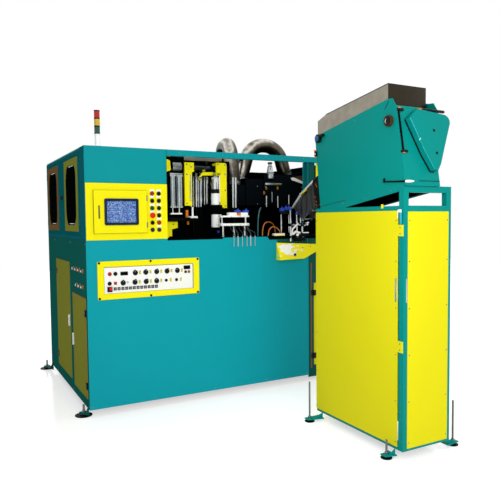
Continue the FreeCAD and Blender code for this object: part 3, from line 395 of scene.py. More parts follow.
@dataclass(frozen=True)
class Perforated(Finish):
    """Perforated steel sheet, zinc plated, with round holes.

    Attributes:
        pitch_mm: Distance between holes, drawn wider than the real 5 mm so that it shows.
        hole: Colour seen through the holes.
    """

    pitch_mm: float = 13.0
    hole: str = "#17181A"

    def dress(self, coat: Coat) -> None:
        """Adds staggered dark holes at the drawn pitch and a dull zinc sheen.

        Args:
            coat: The material in the making.
        """
        place = add_node(coat.tree, "TexCoord", output="Object")
        pattern = {"Vector": place, "Scale": 1000.0 / self.pitch_mm, "Randomness": 0.25}
        cells = add_node(coat.tree, "TexVoronoi", pattern, "Distance")
        holes = add_node(coat.tree, "Math", {0: cells, 1: 0.34}, operation="LESS_THAN")
        dark = add_node(
            coat.tree, "Mix", {0: holes, 6: coat.colour, 7: linear(self.hole)}, 2, data_type="RGBA")
        dished = add_node(coat.tree, "Bump", {"Height": cells, "Strength": 1.0, "Distance": 0.0004})
        coat.put({"Base Color": dark, "Normal": dished, "Metallic": 0.7})


@dataclass(frozen=True)
class Moulded(Finish):
    """Injection-moulded plastic with the fine grain of its mould.

    Attributes:
        grain_mm: Size of the mould's grain, drawn coarse enough to show.
    """

    grain_mm: float = 3.0

    def dress(self, coat: Coat) -> None:
        """Adds the mould's grain and slightly polished touched places 22 mm wide.

        Args:
            coat: The material in the making.
        """
        marks = coat.cloud((22.0, 22.0, 22.0), 2.0, (self.roughness - 0.05, self.roughness + 0.07))
        coat.put({"IOR": 1.49, "Specular IOR Level": 0.22, "Roughness": marks})
        coat.grain((self.grain_mm, self.grain_mm, self.grain_mm), 1.0, 0.03)


@dataclass(frozen=True)
class Glazing(Finish):
    """Dark tinted sheet glass: nearly black, with a little dust in patches."""

    def dress(self, coat: Coat) -> None:
        """Adds the faint waviness of rolled glass and dust that dulls the gloss.

        Args:
            coat: The material in the making.
        """
        dust = coat.cloud((120.0, 120.0, 60.0), 4.0, (self.roughness, self.roughness + 0.12))
        coat.put({"IOR": 1.52, "Specular IOR Level": 0.0, "Roughness": dust})
        coat.grain((260.0, 260.0, 200.0), 1.0, 0.12)


@dataclass(frozen=True)
class LitScreen(Finish):
    """A lit touch screen with a plain layout of blank tiles and small lit marks."""

    def dress(self, coat: Coat) -> None:
        """Draws tiles 34 by 17 mm with marks about 6 mm wide, all slightly lit.

        Args:
            coat: The material in the making.
        """
        place = add_node(coat.tree, "TexCoord", output="Object")
        axes = add_node(coat.tree, "SeparateXYZ", {"Vector": place}).node.outputs
        flat = add_node(coat.tree, "CombineXYZ", {0: axes["X"], 1: axes["Z"]})
        layout = {
            "Vector": flat, "Color1": linear("#5C8CC4"), "Color2": linear("#3A55A8"),
            "Mortar": linear("#2B4694"), "Scale": 1.0, "Mortar Size": 0.0018, "Brick Width": 0.034,
            "Row Height": 0.017}
        tiles = add_node(coat.tree, "TexBrick", layout, "Color", offset=0.37)
        lit = add_node(
            coat.tree, "Math", {0: coat.cloud((7.0, 7.0, 5.0), 0.0), 1: 0.66}, operation="GREATER_THAN")
        face = add_node(coat.tree, "Mix", {0: lit, 6: tiles, 7: linear("#C9CDB4")}, 2, data_type="RGBA")
        coat.put({
            "Base Color": face, "Emission Color": face, "Emission Strength": 0.12, "Specular IOR Level": 0.2})


@dataclass(frozen=True)
class Lens(Finish):
    """A ribbed translucent signal lens, softly glowing in its own colour."""

    def dress(self, coat: Coat) -> None:
        """Adds upright ribs 6 mm apart and a little glow."""
        coat.put({"IOR": 1.49, "Emission Color": coat.colour, "Emission Strength": 0.05})
        coat.grain((6.0, 6.0, 400.0), 0.0, 0.4)


@dataclass(frozen=True)
class Hose(Finish):
    """Extruded polyurethane air hose, smooth and slightly waxy.

    Attributes:
        aged: Colour that it drifts to with age.
    """

    aged: str = "#5A2A10"

    def dress(self, coat: Coat) -> None:
        """Adds the faint colour drift of an old hose.

        Args:
            coat: The material in the making.
        """
        coat.drift((40.0, 40.0, 40.0), 2.0, 0.3, self.aged)
        coat.put({"IOR": 1.5, "Subsurface Weight": 0.05})
        coat.grain((5.0, 5.0, 5.0), 1.0, 0.04)


# Front sheets in semi-gloss teal enamel. The flatter, deeper teals of the left end, its door leaves, posts
# and hinges are that teal darkened with painted shade; the dark stile teal is painted shade on the bay's
# recessed right stile and the right door's surround, and the plain colour of the base frame, seams and
# covers.
TEAL = Enamel("teal_enamel", "#0E9CAA", 0.34, "teal_sheet", "#0A8592", 0.06)
TEAL_UPPER = Enamel("upper_teal_enamel", "#0E929A", 0.34, "teal_sheet", "#0A7C84", 0.06)
TEAL_FEEDER = Enamel("green_teal_enamel", "#038B84", 0.34, "feeder_teal", "#04827A", 0.06)
# Pale teal painted highlight along bent edges of the drive guard and the stand.
PAINTED_EDGE_HIGHLIGHT = Enamel("pale_teal_painted_highlight", "#3FB4C8", 0.34, "feeder_teal", "#2C9DB0", 0.06)
TEAL_PAINTED_SHADE = Enamel("teal_enamel_painted_shade", "#1A6E66", 0.60, "dark_green_sheet", "#125750", 0.0)
TEAL_LEAF_PAINTED_SHADE = Enamel("leaf_teal_painted_shade", "#0F7074", 0.60, "dark_green_sheet", "#0B585C", 0.0)
TEAL_POST_PAINTED_SHADE = Enamel("post_teal_painted_shade", "#16737C", 0.60, "teal_sheet", "#105C64", 0.0)
TEAL_STILE = Enamel("stile_enamel", "#15544E", 0.50, "teal_sheet", "#0E3F3C", 0.04)
YELLOW = Enamel("bright_yellow_enamel", "#F6EB16", 0.32, "yellow_enamel", "#E8DD12", 0.05)
YELLOW_STAND = Enamel("stand_yellow_enamel", "#E8DF18", 0.34, "yellow_enamel", "#DAD012", 0.05)
# The tray's yellow carries a pale painted highlight in one place.
YELLOW_TRAY = EnamelWithPaintedHighlight("tray_yellow_enamel", "#FBF01C", 0.30, "yellow_enamel", "#E6DC1E", 0.10)
# Yellow darkened with painted shade for the yellow parts on the left side and deep in the bay; the browner
# one is the far window frame in deeper painted shade.
YELLOW_DEEP_PAINTED_SHADE = Enamel("yellow_enamel_deep_painted_shade", "#86683C", 0.60, "yellow_enamel", "#5F4A2C", 0.0)
YELLOW_PAINTED_SHADE = Enamel("yellow_enamel_painted_shade", "#989A3C", 0.60, "yellow_enamel", "#757834", 0.0)
WHITE = Enamel("white_enamel", "#F7F8F7", 0.36, "white_face", "#DADDDC", 0.10)
BLACK = Enamel("jet_black_enamel", "#030405", 0.60, "black_enamel", "#080A0C", 0.0)
GREY_BLUE = Enamel("slate_enamel", "#060B10", 0.55, "black_enamel", "#101820", 0.02)
NAVY = Enamel("navy_enamel", "#0F2440", 0.34, "navy_plastic", "#0A1626", 0.14)
# Dark brown: the bearing ring's own colour, and painted shade on the panel behind the lamp.
BROWN = Enamel("brown_enamel_and_painted_shade", "#4A3622", 0.60, "black_enamel", "#1C150E", 0.0)
# Bare metals: turned bars, zinc-plated fittings, rolled stainless sheet, brass.
CHROMED = Metal("hard_chromed_bar", "#DFE2E4", 0.16, "bright_steel", (40.0, 40.0, 3.0), "#8A8D90")
BRIGHT = Metal("milled_aluminium", "#CDD1D4", 0.30, "aluminium_plate", (30.0, 30.0, 2.0), "#6E7276")
ZINC = Metal("zinc_plated_steel", "#8C9194", 0.36, "zinc_steel", (18.0, 18.0, 18.0), "#55524E")
STAINLESS = Metal("rolled_stainless", "#A09A8C", 0.36, "hopper_steel", (4.0, 220.0, 220.0), "#5E574A")
# Ducts: polished stainless with a painted highlight streak and painted shade on the flanks.
DUCTING = TubeWithPaintedSheen(
    "tube_with_painted_sheen", "#8F867B", 0.24, "polished_duct", (160.0, 160.0, 160.0), "#4A4238", 0.004)
DARK_STEEL = Metal("blued_steel", "#101214", 0.46, "black_enamel", (30.0, 30.0, 6.0), "#08090A")
STAINLESS_DARK = Metal("shaded_stainless", "#3E392E", 0.42, "hopper_steel", (4.0, 220.0, 220.0), "#2C281F")
GUN_METAL = Metal("ground_gunmetal", "#3A3E42", 0.24, "bright_steel", (40.0, 40.0, 4.0), "#181A1D")
GREY_CAST = Metal("sand_cast_aluminium", "#8A837C", 0.5, "aluminium_plate", (6.0, 6.0, 6.0), "#5A5550", 0.05)
BRASS = Metal("turned_brass", "#C8964A", 0.28, "bright_steel", (12.0, 12.0, 2.0), "#6A4518")
MESH = Perforated("perforated_sheet", "#757471", 0.46, "zinc_steel")
# Plastics, glass and hoses.
BLACK_PLASTIC = Moulded("black_abs", "#040506", 0.50, "black_plastic")
NAVY_PLASTIC = Moulded("navy_abs", "#122647", 0.36, "navy_plastic")
BLUE_PLASTIC = Moulded("blue_acetal", "#2A50C0", 0.34, "navy_plastic")
RED_PLASTIC = Moulded("bright_red_abs", "#E21A17", 0.30, "red_plastic")
DARK_RED_PLASTIC = Moulded("dark_red_abs", "#A81C1A", 0.32, "dark_red_plastic")
DARK_GREEN_PLASTIC = Moulded("dark_green_abs", "#0B4A3A", 0.32, "dark_green_plastic")
WHITE_PLASTIC = Moulded("white_abs", "#FAFAF9", 0.36, "white_face")
CLEAR_TUBE = Moulded("clear_polycarbonate", "#A3B9BE", 0.18, "white_face")
SMOKED_TUBE = Moulded("smoked_polycarbonate", "#26323A", 0.24, "white_face")
ORANGE_PLASTIC = Moulded("orange_polyamide", "#DE7A1E", 0.38, "hose_orange")
RUST_BRUSH = Moulded("rust_brown_seal", "#A55E20", 0.62, "hose_orange")
AMBER_LIGHT = Moulded("amber_display_filter", "#DCC41C", 0.20, "white_face")
GLASS = Glazing("tinted_glass", "#05090B", 0.08, "window_glass")
SCREEN = LitScreen("lit_touch_screen", "#4A68A3", 0.12, "screen_glass")
LENS_RED = Lens("red_signal_lens", "#A81410", 0.2, "signal_lenses")
LENS_AMBER = Lens("amber_signal_lens", "#C8A420", 0.2, "signal_lenses")
LENS_GREEN = Lens("green_signal_lens", "#0A4A38", 0.2, "signal_lenses")
HOSE_ORANGE = Hose("orange_air_hose", "#C8742A", 0.34, "hose_orange")
HOSE_TEAL = Hose("teal_air_hose", "#1E6E78", 0.34, "hose_orange")


# --- shaping ---


class Piece:
    """One separate piece in the making: a bmesh that is shaped in drawing millimetres.

    Attributes:
        begun: Every piece that isn't shown yet, in order.
    """

    begun: ClassVar[list["Piece"]] = []

    def __init__(
        self, name: str, finish: Finish, body: Body | str = Body.MACHINE, *stands_for: str,
        crease: float = 32.0) -> None:
        """Starts an empty piece.

        Args:
            name: The piece's name.
            finish: What it is made of.
            body: The body that it rides on.
            *stands_for: The solids that it takes the place of.
            crease: Edges sharper than this many degrees stay sharp.
        """
        self.name = name
        self.finish = finish
        self.body = body
        self.stands_for = stands_for
        self.crease = math.radians(crease)
        self.bm = bmesh.new()
        self.begun.append(self)

    def soften(self, verts: Sequence[bmesh.types.BMVert], width: float, segments: int = 2) -> None:
        """Rounds the sharp edges between the given vertices.

        Args:
            verts: The vertices of the form.
            width: Width of the rounding in millimetres.
            segments: Facets across the rounding.
        """
        inside = set(verts)
        edges = [
            edge
            for edge in {edge for vert in verts for edge in vert.link_edges}
            if edge.verts[0] in inside and edge.verts[1] in inside and edge.calc_face_angle(0.0) > 0.9
        ]
        bmesh.ops.bevel(
            self.bm, geom=edges, offset=width / 1000.0, offset_type="OFFSET", affect="EDGES",
            segments=segments, profile=0.5, material=-1, clamp_overlap=True)

    def block(self, x: Span, y: Span, z: Span, edge: float = 0.0, lean: Matrix | None = None) -> Piece:
        """Adds a block between two values on each axis.

        Args:
            x: Its lowest and highest x.
            y: Its lowest and highest y.
            z: Its lowest and highest z.
            edge: Width of its rounded edges.
            lean: A turn about the block's own middle.

        Returns:
            The piece.
        """
        middle = spot(sum(x) / 2, sum(y) / 2, sum(z) / 2)
        sizes = [abs(pair[1] - pair[0]) / 1000.0 for pair in (x, y, z)]
        turn = lean.to_4x4() if lean else Matrix.Identity(4)
        matrix = Matrix.Translation(middle) @ turn @ Matrix.Diagonal((*sizes, 1.0))
        made = bmesh.ops.create_cube(self.bm, size=1.0, matrix=matrix)
        if edge:
            self.soften(made["verts"], edge)
        return self

    def rod(
        self, start: Point, end: Point, radius: float, sides: int = 20, edge: float = 0.0,
        tip: float | None = None) -> Piece:
        """Adds a round bar or cone between two points.

        Args:
            start: Where it starts.
            end: Where it ends.
            radius: Its radius at the start.
            sides: Its facets.
            edge: Width of its rounded rims.
            tip: Its radius at the end, where that differs.

        Returns:
            The piece.
        """
        low, high = spot(*start), spot(*end)
        turn = (high - low).to_track_quat("Z", "Y").to_matrix().to_4x4()
        made = bmesh.ops.create_cone(
            self.bm, cap_ends=True, cap_tris=False, segments=sides, radius1=radius / 1000.0,
            radius2=(radius if tip is None else tip) / 1000.0, depth=(high - low).length,
            matrix=Matrix.Translation((low + high) / 2) @ turn)
        if edge:
            self.soften(made["verts"], edge)
        return self

    def turned(self, foot: Point, ahead: Point, profile: Sequence[Span], sides: int = 28) -> Piece:
        """Adds a solid turned form, whose profile is led to the axis at both ends."""
        first, last = ([(0.0, height)] if radius else [] for radius, height in (profile[0], profile[-1]))
        return self.spun(foot, ahead, [*first, *profile, *last], sides)

    def ring(self, foot: Point, ahead: Point, profile: Sequence[Span], sides: int = 28) -> Piece:
        """Adds a turned ring: a profile that closes on itself."""
        return self.spun(foot, ahead, [*profile, profile[0]], sides)

    def spun(self, foot: Point, ahead: Point, profile: Sequence[Span], sides: int) -> Piece:
        """Spins a profile of (radius, height) about an axis.

        Args:
            foot: The point on the axis where heights start.
            ahead: The axis' direction.
            profile: Radius and height of each corner, in order.
            sides: Facets round the axis.

        Returns:
            The piece.
        """
        closed = profile[0] == profile[-1]
        corners = profile[:-1] if closed else profile
        verts = [self.bm.verts.new((radius / 1000.0, 0.0, height / 1000.0)) for radius, height in corners]
        pairs = list(zip(verts, verts[1:])) + ([(verts[-1], verts[0])] if closed else [])
        edges = [self.bm.edges.new(pair) for pair in pairs]
        before = set(self.bm.verts) - set(verts)
        bmesh.ops.spin(
            self.bm, geom=verts + edges, cent=(0.0, 0.0, 0.0), axis=(0.0, 0.0, 1.0), angle=math.tau,
            steps=sides, use_merge=True)
        made = [vert for vert in self.bm.verts if vert not in before]
        bmesh.ops.remove_doubles(self.bm, verts=made, dist=1e-6)
        made = [vert for vert in self.bm.verts if vert not in before]
        turn = Vector(ahead).to_track_quat("Z", "Y").to_matrix().to_4x4()
        bmesh.ops.transform(self.bm, matrix=Matrix.Translation(spot(*foot)) @ turn, verts=made)
        return self

    def screws(self, spots: Iterable[Point], ahead: Point, radius: float, proud: float = 2.0) -> Piece:
        """Adds domed screw heads with a cross slot.

        Args:
            spots: Where each head sits.
            ahead: The direction that the heads face.
            radius: Radius of a head.
            proud: Height of a head.

        Returns:
            The piece.
        """
        for foot in spots:
            profile = [
                (radius, 0.0), (radius, proud * 0.45), (radius * 0.72, proud * 0.85), (radius * 0.3, proud),
                (radius * 0.24, proud * 0.5), (0.0, proud * 0.5)]
            self.spun(foot, ahead, profile, 10)
        return self

    def brush(self, x: Span, y: Span, low: float, pitch: float, count: int) -> Piece:
        """Adds an upright brush strip as a row of tufts 10 mm high.

        Args:
            x: Its lowest and highest x.
            y: Its lowest and highest y.
            low: Where the first tuft starts.
            pitch: Distance from tuft to tuft.
            count: Number of tufts.

        Returns:
            The piece.
        """
        for k in range(count):
            self.block(x, y, (low + k * pitch, low + 10.0 + k * pitch), 0.8)
        return self

    def slab(self, outline: Sequence[Point], thick: Point, edge: float = 0.0) -> Piece:
        """Adds a plate: an outline of corner points pushed out along a direction.

        Args:
            outline: The plate's corners in one plane, in order.
            thick: The push, in millimetres along X, Y and Z.
            edge: Width of its rounded edges.

        Returns:
            The piece.
        """
        verts = [self.bm.verts.new(spot(*corner)) for corner in outline]
        face = self.bm.faces.new(verts)
        pushed = bmesh.ops.extrude_face_region(self.bm, geom=[face], use_keep_orig=True)
        moved = [item for item in pushed["geom"] if isinstance(item, bmesh.types.BMVert)]
        bmesh.ops.translate(self.bm, vec=Vector(thick) / 1000.0, verts=moved)
        if edge:
            self.soften(verts + moved, edge, 1)
        return self

    def pipe(self, route: Sequence[Point], bend: float, radius: float, sides: int = 48) -> Piece:
        """Adds a smooth bent tube: straight runs joined by arcs of one radius.

        Args:
            route: The corners of its centreline.
            bend: Radius of the arcs.
            radius: Radius of the tube.
            sides: Facets round the tube.

        Returns:
            The piece.
        """
        corners = [spot(*point) for point in route]
        ahead = (corners[1] - corners[0]).normalized()
        turn = ahead.to_track_quat("Z", "Y").to_matrix().to_4x4()
        ring = bmesh.ops.create_circle(
            self.bm, radius=radius / 1000.0, segments=sides, matrix=Matrix.Translation(corners[0]) @ turn
        )
        edges = list({edge for vert in ring["verts"] for edge in vert.link_edges})
        at = corners[0]
        for corner, after in zip(corners[1:], corners[2:] + [None]):
            reach = 0.0
            if after is not None:
                onward = (after - corner).normalized()
                angle = ahead.angle(onward)
                reach = bend / 1000.0 * math.tan(angle / 2)
            run = corner - ahead * reach - at
            pushed = bmesh.ops.extrude_edge_only(self.bm, edges=edges)["geom"]
            moved = [item for item in pushed if isinstance(item, bmesh.types.BMVert)]
            bmesh.ops.translate(self.bm, vec=run, verts=moved)
            edges = [item for item in pushed if isinstance(item, bmesh.types.BMEdge)]
            edges = [edge for edge in edges if set(edge.verts) <= set(moved)]
            if after is None:
                break
            axis = ahead.cross(onward).normalized()
            centre = corner - ahead * reach + axis.cross(ahead) * (bend / 1000.0)
            spun = bmesh.ops.spin(
                self.bm, geom=edges + moved, cent=centre, axis=axis, angle=angle, steps=14, use_merge=False
            )
            edges = [item for item in spun["geom_last"] if isinstance(item, bmesh.types.BMEdge)]
            at, ahead = corner + onward * reach, onward
        bmesh.ops.remove_doubles(self.bm, verts=self.bm.verts[:], dist=1e-6)
        return self

    def finish_off(self) -> None:
        """Turns the bmesh into a shown object that rides on its body."""
        bmesh.ops.recalc_face_normals(self.bm, faces=self.bm.faces[:])
        for face in self.bm.faces:
            face.smooth = True
        for edge in self.bm.edges:
            edge.smooth = edge.calc_face_angle(0.0) < self.crease
        mesh = bpy.data.meshes.new(self.name)
        self.bm.to_mesh(mesh)
        self.bm.free()
        show(bpy.data.objects.new(self.name, mesh), self.finish, self.body, *self.stands_for)

    @classmethod
    def finish_all(cls) -> None:
        """Shows every piece that was begun, in order."""
        for piece in cls.begun:
            piece.finish_off()
        cls.begun.clear()


def show(item: bpy.types.Object, finish: Finish, body: Body | str, *stands_for: str) -> bpy.types.Object:
    """Links an object to the scene, gives it its finish and lets it ride.

    Args:
        item: The object.
        finish: Its finish.
        body: The body that it rides on.
        *stands_for: The solids that it takes the place of.

    Returns:
        The object.
    """
    bpy.context.scene.collection.objects.link(item)
    item.data.materials.clear()
    item.data.materials.append(finish.material())
    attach(item, body.value if isinstance(body, Body) else body)
    if stands_for:
        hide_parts(*stands_for)
    LOG.info("piece %s", item.name)
    return item


@dataclass
class Assembly:
    """A sub-assembly: it dresses the frame's solids and shapes pieces of its own.

    Attributes:
        nodes: The frame's solids by name.
    """

    nodes: dict[str, bpy.types.Object]

    def build(self) -> None:
        """Dresses the solids and begins the pieces."""

    def dress(self, finish: Finish, *names: str) -> None:
        """Gives carried-over solids a finish.

        Args:
            finish: The finish.
            *names: The solids that get it.
        """
        for name in names:
            self.nodes[name].data.materials.clear()
            self.nodes[name].data.materials.append(finish.material())


FRONT: Point = (0.0, -1.0, 0.0)
LEFT: Point = (-1.0, 0.0, 0.0)
RIGHT: Point = (1.0, 0.0, 0.0)
UP: Point = (0.0, 0.0, 1.0)


# --- hoses, camera and light ---


@dataclass
class AirHoses:
    """The thin air hoses between the outfeed and the oven.

    Attributes:
        bore: Outer diameter of a hose in metres.
        routes: Each hose's name, finish, real length in metres and route.
    """

    bore: float = 0.010
    routes: tuple[tuple[str, Finish, float, tuple[Point, ...]], ...] = (
        ("air_hose_front", HOSE_ORANGE, 0.372, (
            (1560, 60, BED_TOP), (1560, 60, 1470), (1640, 120, 1520), (1762, 175, 1490),
            (1762, 175, BED_TOP))),
        ("air_hose_oven", HOSE_TEAL, 0.629, (
            (1530, 90, BED_TOP), (1530, 90, 1560), (1640, 220, 1660), (1740, 400, 1610),
            (1740, 450, 1610))),
        ("air_hose_low", HOSE_ORANGE, 0.262, (
            (1602, 30, BED_TOP), (1602, 30, 1440), (1680, 70, 1478), (1748, 60, 1430),
            (1748, 60, BED_TOP))),
    )

    def build(self) -> None:
        for name, finish, length, route in self.routes:
            curve = bpy.data.curves.new(name, "CURVE")
            curve.dimensions = "3D"
            curve.bevel_depth = self.bore / 2
            curve.bevel_resolution = 4
            curve.resolution_u = 10
            spline = curve.splines.new("NURBS")
            spline.points.add(len(route) - 1)
            for point, place in zip(spline.points, route):
                point.co = (*spot(*place), 1.0)
            spline.order_u = 3
            spline.use_endpoint_u = True
            hose = show(bpy.data.objects.new(name, curve), finish, Body.MACHINE, "air_hoses")


@dataclass
class Studio:
    """Plain pale floor, soft light and the photograph's camera.

    Attributes:
        eye: The camera's place in metres.
        yaw: Its heading from the machine's depth towards its right, in degrees.
        pitch: Its tilt in degrees.
        roll: Its roll in degrees.
        lens: Its focal length on a 36 mm sensor.
        lamps: Name, place, target, side in metres and power in watts of each lamp.
    """

    eye: Point = (-2.2426, -4.3501, 1.5023)
    yaw: float = 28.4128
    pitch: float = -3.033
    roll: float = -0.548
    lens: float = 41.36
    lamps: tuple[tuple[str, Point, Point, float, float], ...] = (
        ("key_lamp", (-1.2, -10.0, 4.2), (-0.2, -0.4, 1.2), 6.0, 405.0),
        ("side_lamp", (4.6, -2.6, 3.2), (0.6, -0.4, 1.2), 3.0, 34.0),
        ("top_lamp", (0.0, 0.6, 5.4), (0.0, 0.4, 1.0), 4.0, 100.0),
        ("stand_lamp", (-1.15, -2.7, 1.7), (0.3, -1.2, 1.5), 1.4, 26.0),
    )

    def camera(self) -> None:
        """Sets the camera up at the photograph's viewing angle."""
        yaw, pitch, roll = (math.radians(angle) for angle in (self.yaw, self.pitch, self.roll))
        ahead = Vector((math.sin(yaw) * math.cos(pitch), math.cos(yaw) * math.cos(pitch), math.sin(pitch)))
        right = Vector((math.cos(yaw), -math.sin(yaw), 0.0))
        upward = right.cross(ahead)
        tilted = right * math.cos(roll) + upward * math.sin(roll)
        upright = upward * math.cos(roll) - right * math.sin(roll)
        data = bpy.data.cameras.new("camera")
        data.lens = self.lens
        data.sensor_width = 36.0
        data.clip_end = 100.0
        camera = bpy.data.objects.new("camera", data)
        turn = Matrix((tilted, upright, -ahead)).transposed().to_4x4()
        camera.matrix_world = Matrix.Translation(Vector(self.eye)) @ turn
        bpy.context.scene.collection.objects.link(camera)
        bpy.context.scene.camera = camera

    def light(self) -> None:
        """Hangs large soft lamps round the machine and sets a pale world."""
        for name, place, target, side, power in self.lamps:
            data = bpy.data.lights.new(name, "AREA")
            data.shape = "SQUARE"
            data.size = side
            data.energy = power
            lamp = bpy.data.objects.new(name, data)
            turn = (Vector(target) - Vector(place)).to_track_quat("-Z", "Y").to_matrix().to_4x4()
            lamp.matrix_world = Matrix.Translation(Vector(place)) @ turn
            lamp.visible_camera = False
            lamp.visible_glossy = False
            bpy.context.scene.collection.objects.link(lamp)
        world = bpy.data.worlds.new("pale_studio")
        bpy.context.scene.world = world
        world.use_nodes = True
        tree = world.node_tree
        rays = add_node(tree, "LightPath").node.outputs
        seen = add_node(tree, "Math", {0: rays["Is Camera Ray"], 1: rays["Is Glossy Ray"]}, operation="ADD")
        seen = add_node(tree, "Math", {0: seen, 1: rays["Is Transmission Ray"]}, operation="ADD")
        strength = add_node(tree, "MapRange", {"Value": seen, "To Min": 0.40, "To Max": 1.0}, clamp=True)
        fill(tree.nodes["Background"], {"Color": linear("#FFFFFF"), "Strength": strength})

    def floor(self) -> None:
        """Lays a pale floor that stays white to the camera and keeps the machine's soft shadow."""
        bm = bmesh.new()
        bmesh.ops.create_grid(bm, x_segments=1, y_segments=1, size=14.0)
        mesh = bpy.data.meshes.new("floor")
        bm.to_mesh(mesh)
        bm.free()
        floor = bpy.data.objects.new("floor", mesh)
        bpy.context.scene.collection.objects.link(floor)
        paint = Coat("pale_floor", "#D8D8D8", 0.16)
        rays = add_node(paint.tree, "LightPath").node.outputs
        near = {0: rays["Is Camera Ray"], 1: rays["Is Glossy Ray"]}
        seen = add_node(paint.tree, "Math", near, operation="MAXIMUM")
        lift = add_node(paint.tree, "Math", {0: seen, 1: 0.57}, operation="MULTIPLY")
        paint.put({"Emission Color": linear("#FFFFFF"), "Emission Strength": lift})
        mesh.materials.append(paint.material)


# --- cabinet ---


@dataclass
class Cabinet(Assembly):
    """The long sheet-steel cabinet with its doors, sockets and feet.

    Attributes:
        door_hinges: Height of each hinge of the two left doors.
        right_hinges: Height of each hinge of the front right door.
        sockets: Along and up of each cable socket on the left skin.
        feet: Across, along, pad radius, stud radius and top of each levelling foot.
        thread: Pitch of the studs' threads, drawn coarse enough to show.
    """

    door_hinges: dict[str, Span] = field(default_factory=lambda: {"near": (266, 828), "far": (289, 1073)})
    right_hinges: Span = (263.0, 851.0)
    sockets: tuple[Span, ...] = (
        (130, 1148), (240, 1148), (350, 1148), (460, 1148), (140, 1023), (240, 1023), (340, 1023))
    feet: tuple[tuple[float, float, float, float, float], ...] = (
        (-28, 92, 66, 9, 118), (-38, 1735, 66, 9, 118), (2578, 92, 66, 9, 118), (2588, 1735, 66, 9, 118),
        (1455, -1672, 37, 7, 150), (1411, -888, 37, 7, 330), (1981, -1724, 37, 7, 330),
        (1981, -888, 37, 7, 330))
    thread: float = 3.0

    def build(self) -> None:
        """Dresses the cabinet's solids and adds its fittings."""
        self.dress(TEAL_STILE, "base_frame")
        self.dress(TEAL, "front_skin", "right_wall", "rear_wall")
        self.dress(BLACK, "bed_plate")
        # The left skin and the two left doors are darkened with painted shade.
        self.dress(TEAL_PAINTED_SHADE, "left_skin")
        self.dress(YELLOW_PAINTED_SHADE, "cabinet_door_near", "cabinet_door_far")
        self.dress(YELLOW_STAND, "cabinet_door_right")
        self.build_feet()
        self.build_sockets()
        self.build_hinges()
        self.build_shade_liners()
        self.build_trim()

    def build_shade_liners(self) -> None:
        """Lines the bay's back and right end with flat black sheet as painted shade."""
        liners = Piece("bay_shade_liners", BLACK)
        liners.block((30, 2500), (1660.6, 1662.8), (1390, 2040), 0.4)
        liners.block((2543.6, 2546.8), (60, 1620), (1390, 2040), 0.4)

    def build_feet(self) -> None:
        """Turns the pads, lock nuts and threaded studs of the levelling feet."""
        pads = Piece("foot_pads", BLACK_PLASTIC, Body.MACHINE, "levelling_feet")
        studs = Piece("foot_studs", ZINC)
        for x, y, pad, stud, top in self.feet:
            base = (x, y, FLOOR)
            pads.turned(base, UP, [(pad - 1.5, 0), (pad, 2), (pad, 5), (pad * 0.55, 10), (stud + 6, 16),
                                   (stud + 5, 19)], 36)
            profile = []
            height = 18
            while height + self.thread < top - FLOOR:
                profile += [(stud - 1, height), (stud, height + self.thread / 2)]
                height += self.thread
            studs.turned(base, UP, profile + [(stud - 1, top - FLOOR)], 14)
            for nut in (20, 33):
                studs.rod((x, y, FLOOR + nut), (x, y, FLOOR + nut + 8), stud * 1.75, 6, 0.8)

    def build_sockets(self) -> None:
        """Adds a ring and a cap to each cable socket."""
        rings = Piece("socket_rings", ORANGE_PLASTIC)
        caps = Piece("socket_caps", WHITE_PLASTIC)
        for y, z in self.sockets:
            foot = (0, y, z)
            rings.ring(foot, LEFT, [(10.4, 0), (17.4, 0), (17.4, 4), (16, 6), (10.4, 6)], 24)
            caps.turned((-14, y, z), LEFT, [(10, 0), (10, 2), (8, 4), (0, 4.4)], 24)

    def build_hinges(self) -> None:
        """Adds the black hinges, the door seals and the locks."""
        for side, pin, step, edge, middle, body in (
            ("near", 50, 1, 504, 555, Body.DOOR_NEAR), ("far", 1250, -1, 654, 689, Body.DOOR_FAR)):
            hinges = Piece(f"hinges_{side}", BLACK_PLASTIC, body)
            for z in self.door_hinges[side]:
                hinges.turned((-6, pin, z - 27), UP, [(5.4, 0), (6.4, 1.5), (6.4, 52.5), (5.4, 54)], 20)
                hinges.block((-8.5, -4.1), (pin + step * 3, pin + step * 46), (z - 26, z + 26), 1.6)
                hinges.screws(((-8.5, pin + step * 34, z + lift) for lift in (-15, 15)), LEFT, 4)
            grip = Piece(f"grip_{side}", WHITE_PLASTIC, body)
            grip.block((-17, -3.9), (edge - 2, edge + 14), (middle - 50, middle + 50), 3)
        seal = Piece("door_seal", RUST_BRUSH, Body.DOOR_NEAR)
        seal.brush((-6.8, -3.9), (51, 61), 172, 15, 52)
        seal.block((-6, -3.9), (60, 500), (934, 941), 0.8)
        front = Piece("hinges_right", BLACK_PLASTIC, Body.DOOR_RIGHT)
        for z in self.right_hinges:
            front.turned((2072, 4.5, z - 27), UP, [(5.2, 0), (6.2, 1.5), (6.2, 52.5), (5.2, 54)], 20)
            front.block((2076, 2104), (2.2, 5.6), (z - 26, z + 26), 1.2)
            front.screws(((2093, 2.2, z + lift) for lift in (-15, 15)), FRONT, 4)
        bolted = Piece("hinge_leaves_right", BLACK_PLASTIC)
        for z in self.right_hinges:
            bolted.block((2044, 2065), (8.6, 12.1), (z - 26, z + 26), 1.2)
            bolted.screws(((2053, 8.6, z + lift) for lift in (-15, 15)), FRONT, 4)
        lock = Piece("right_door_lock", ZINC, Body.DOOR_RIGHT)
        lock.turned((2462, 5.6, 560), FRONT, [(14, 0), (14, 3), (11, 6)], 28)
        lock.block((2459.5, 2464.5), (-2.5, 0.5), (551, 569), 0.8)

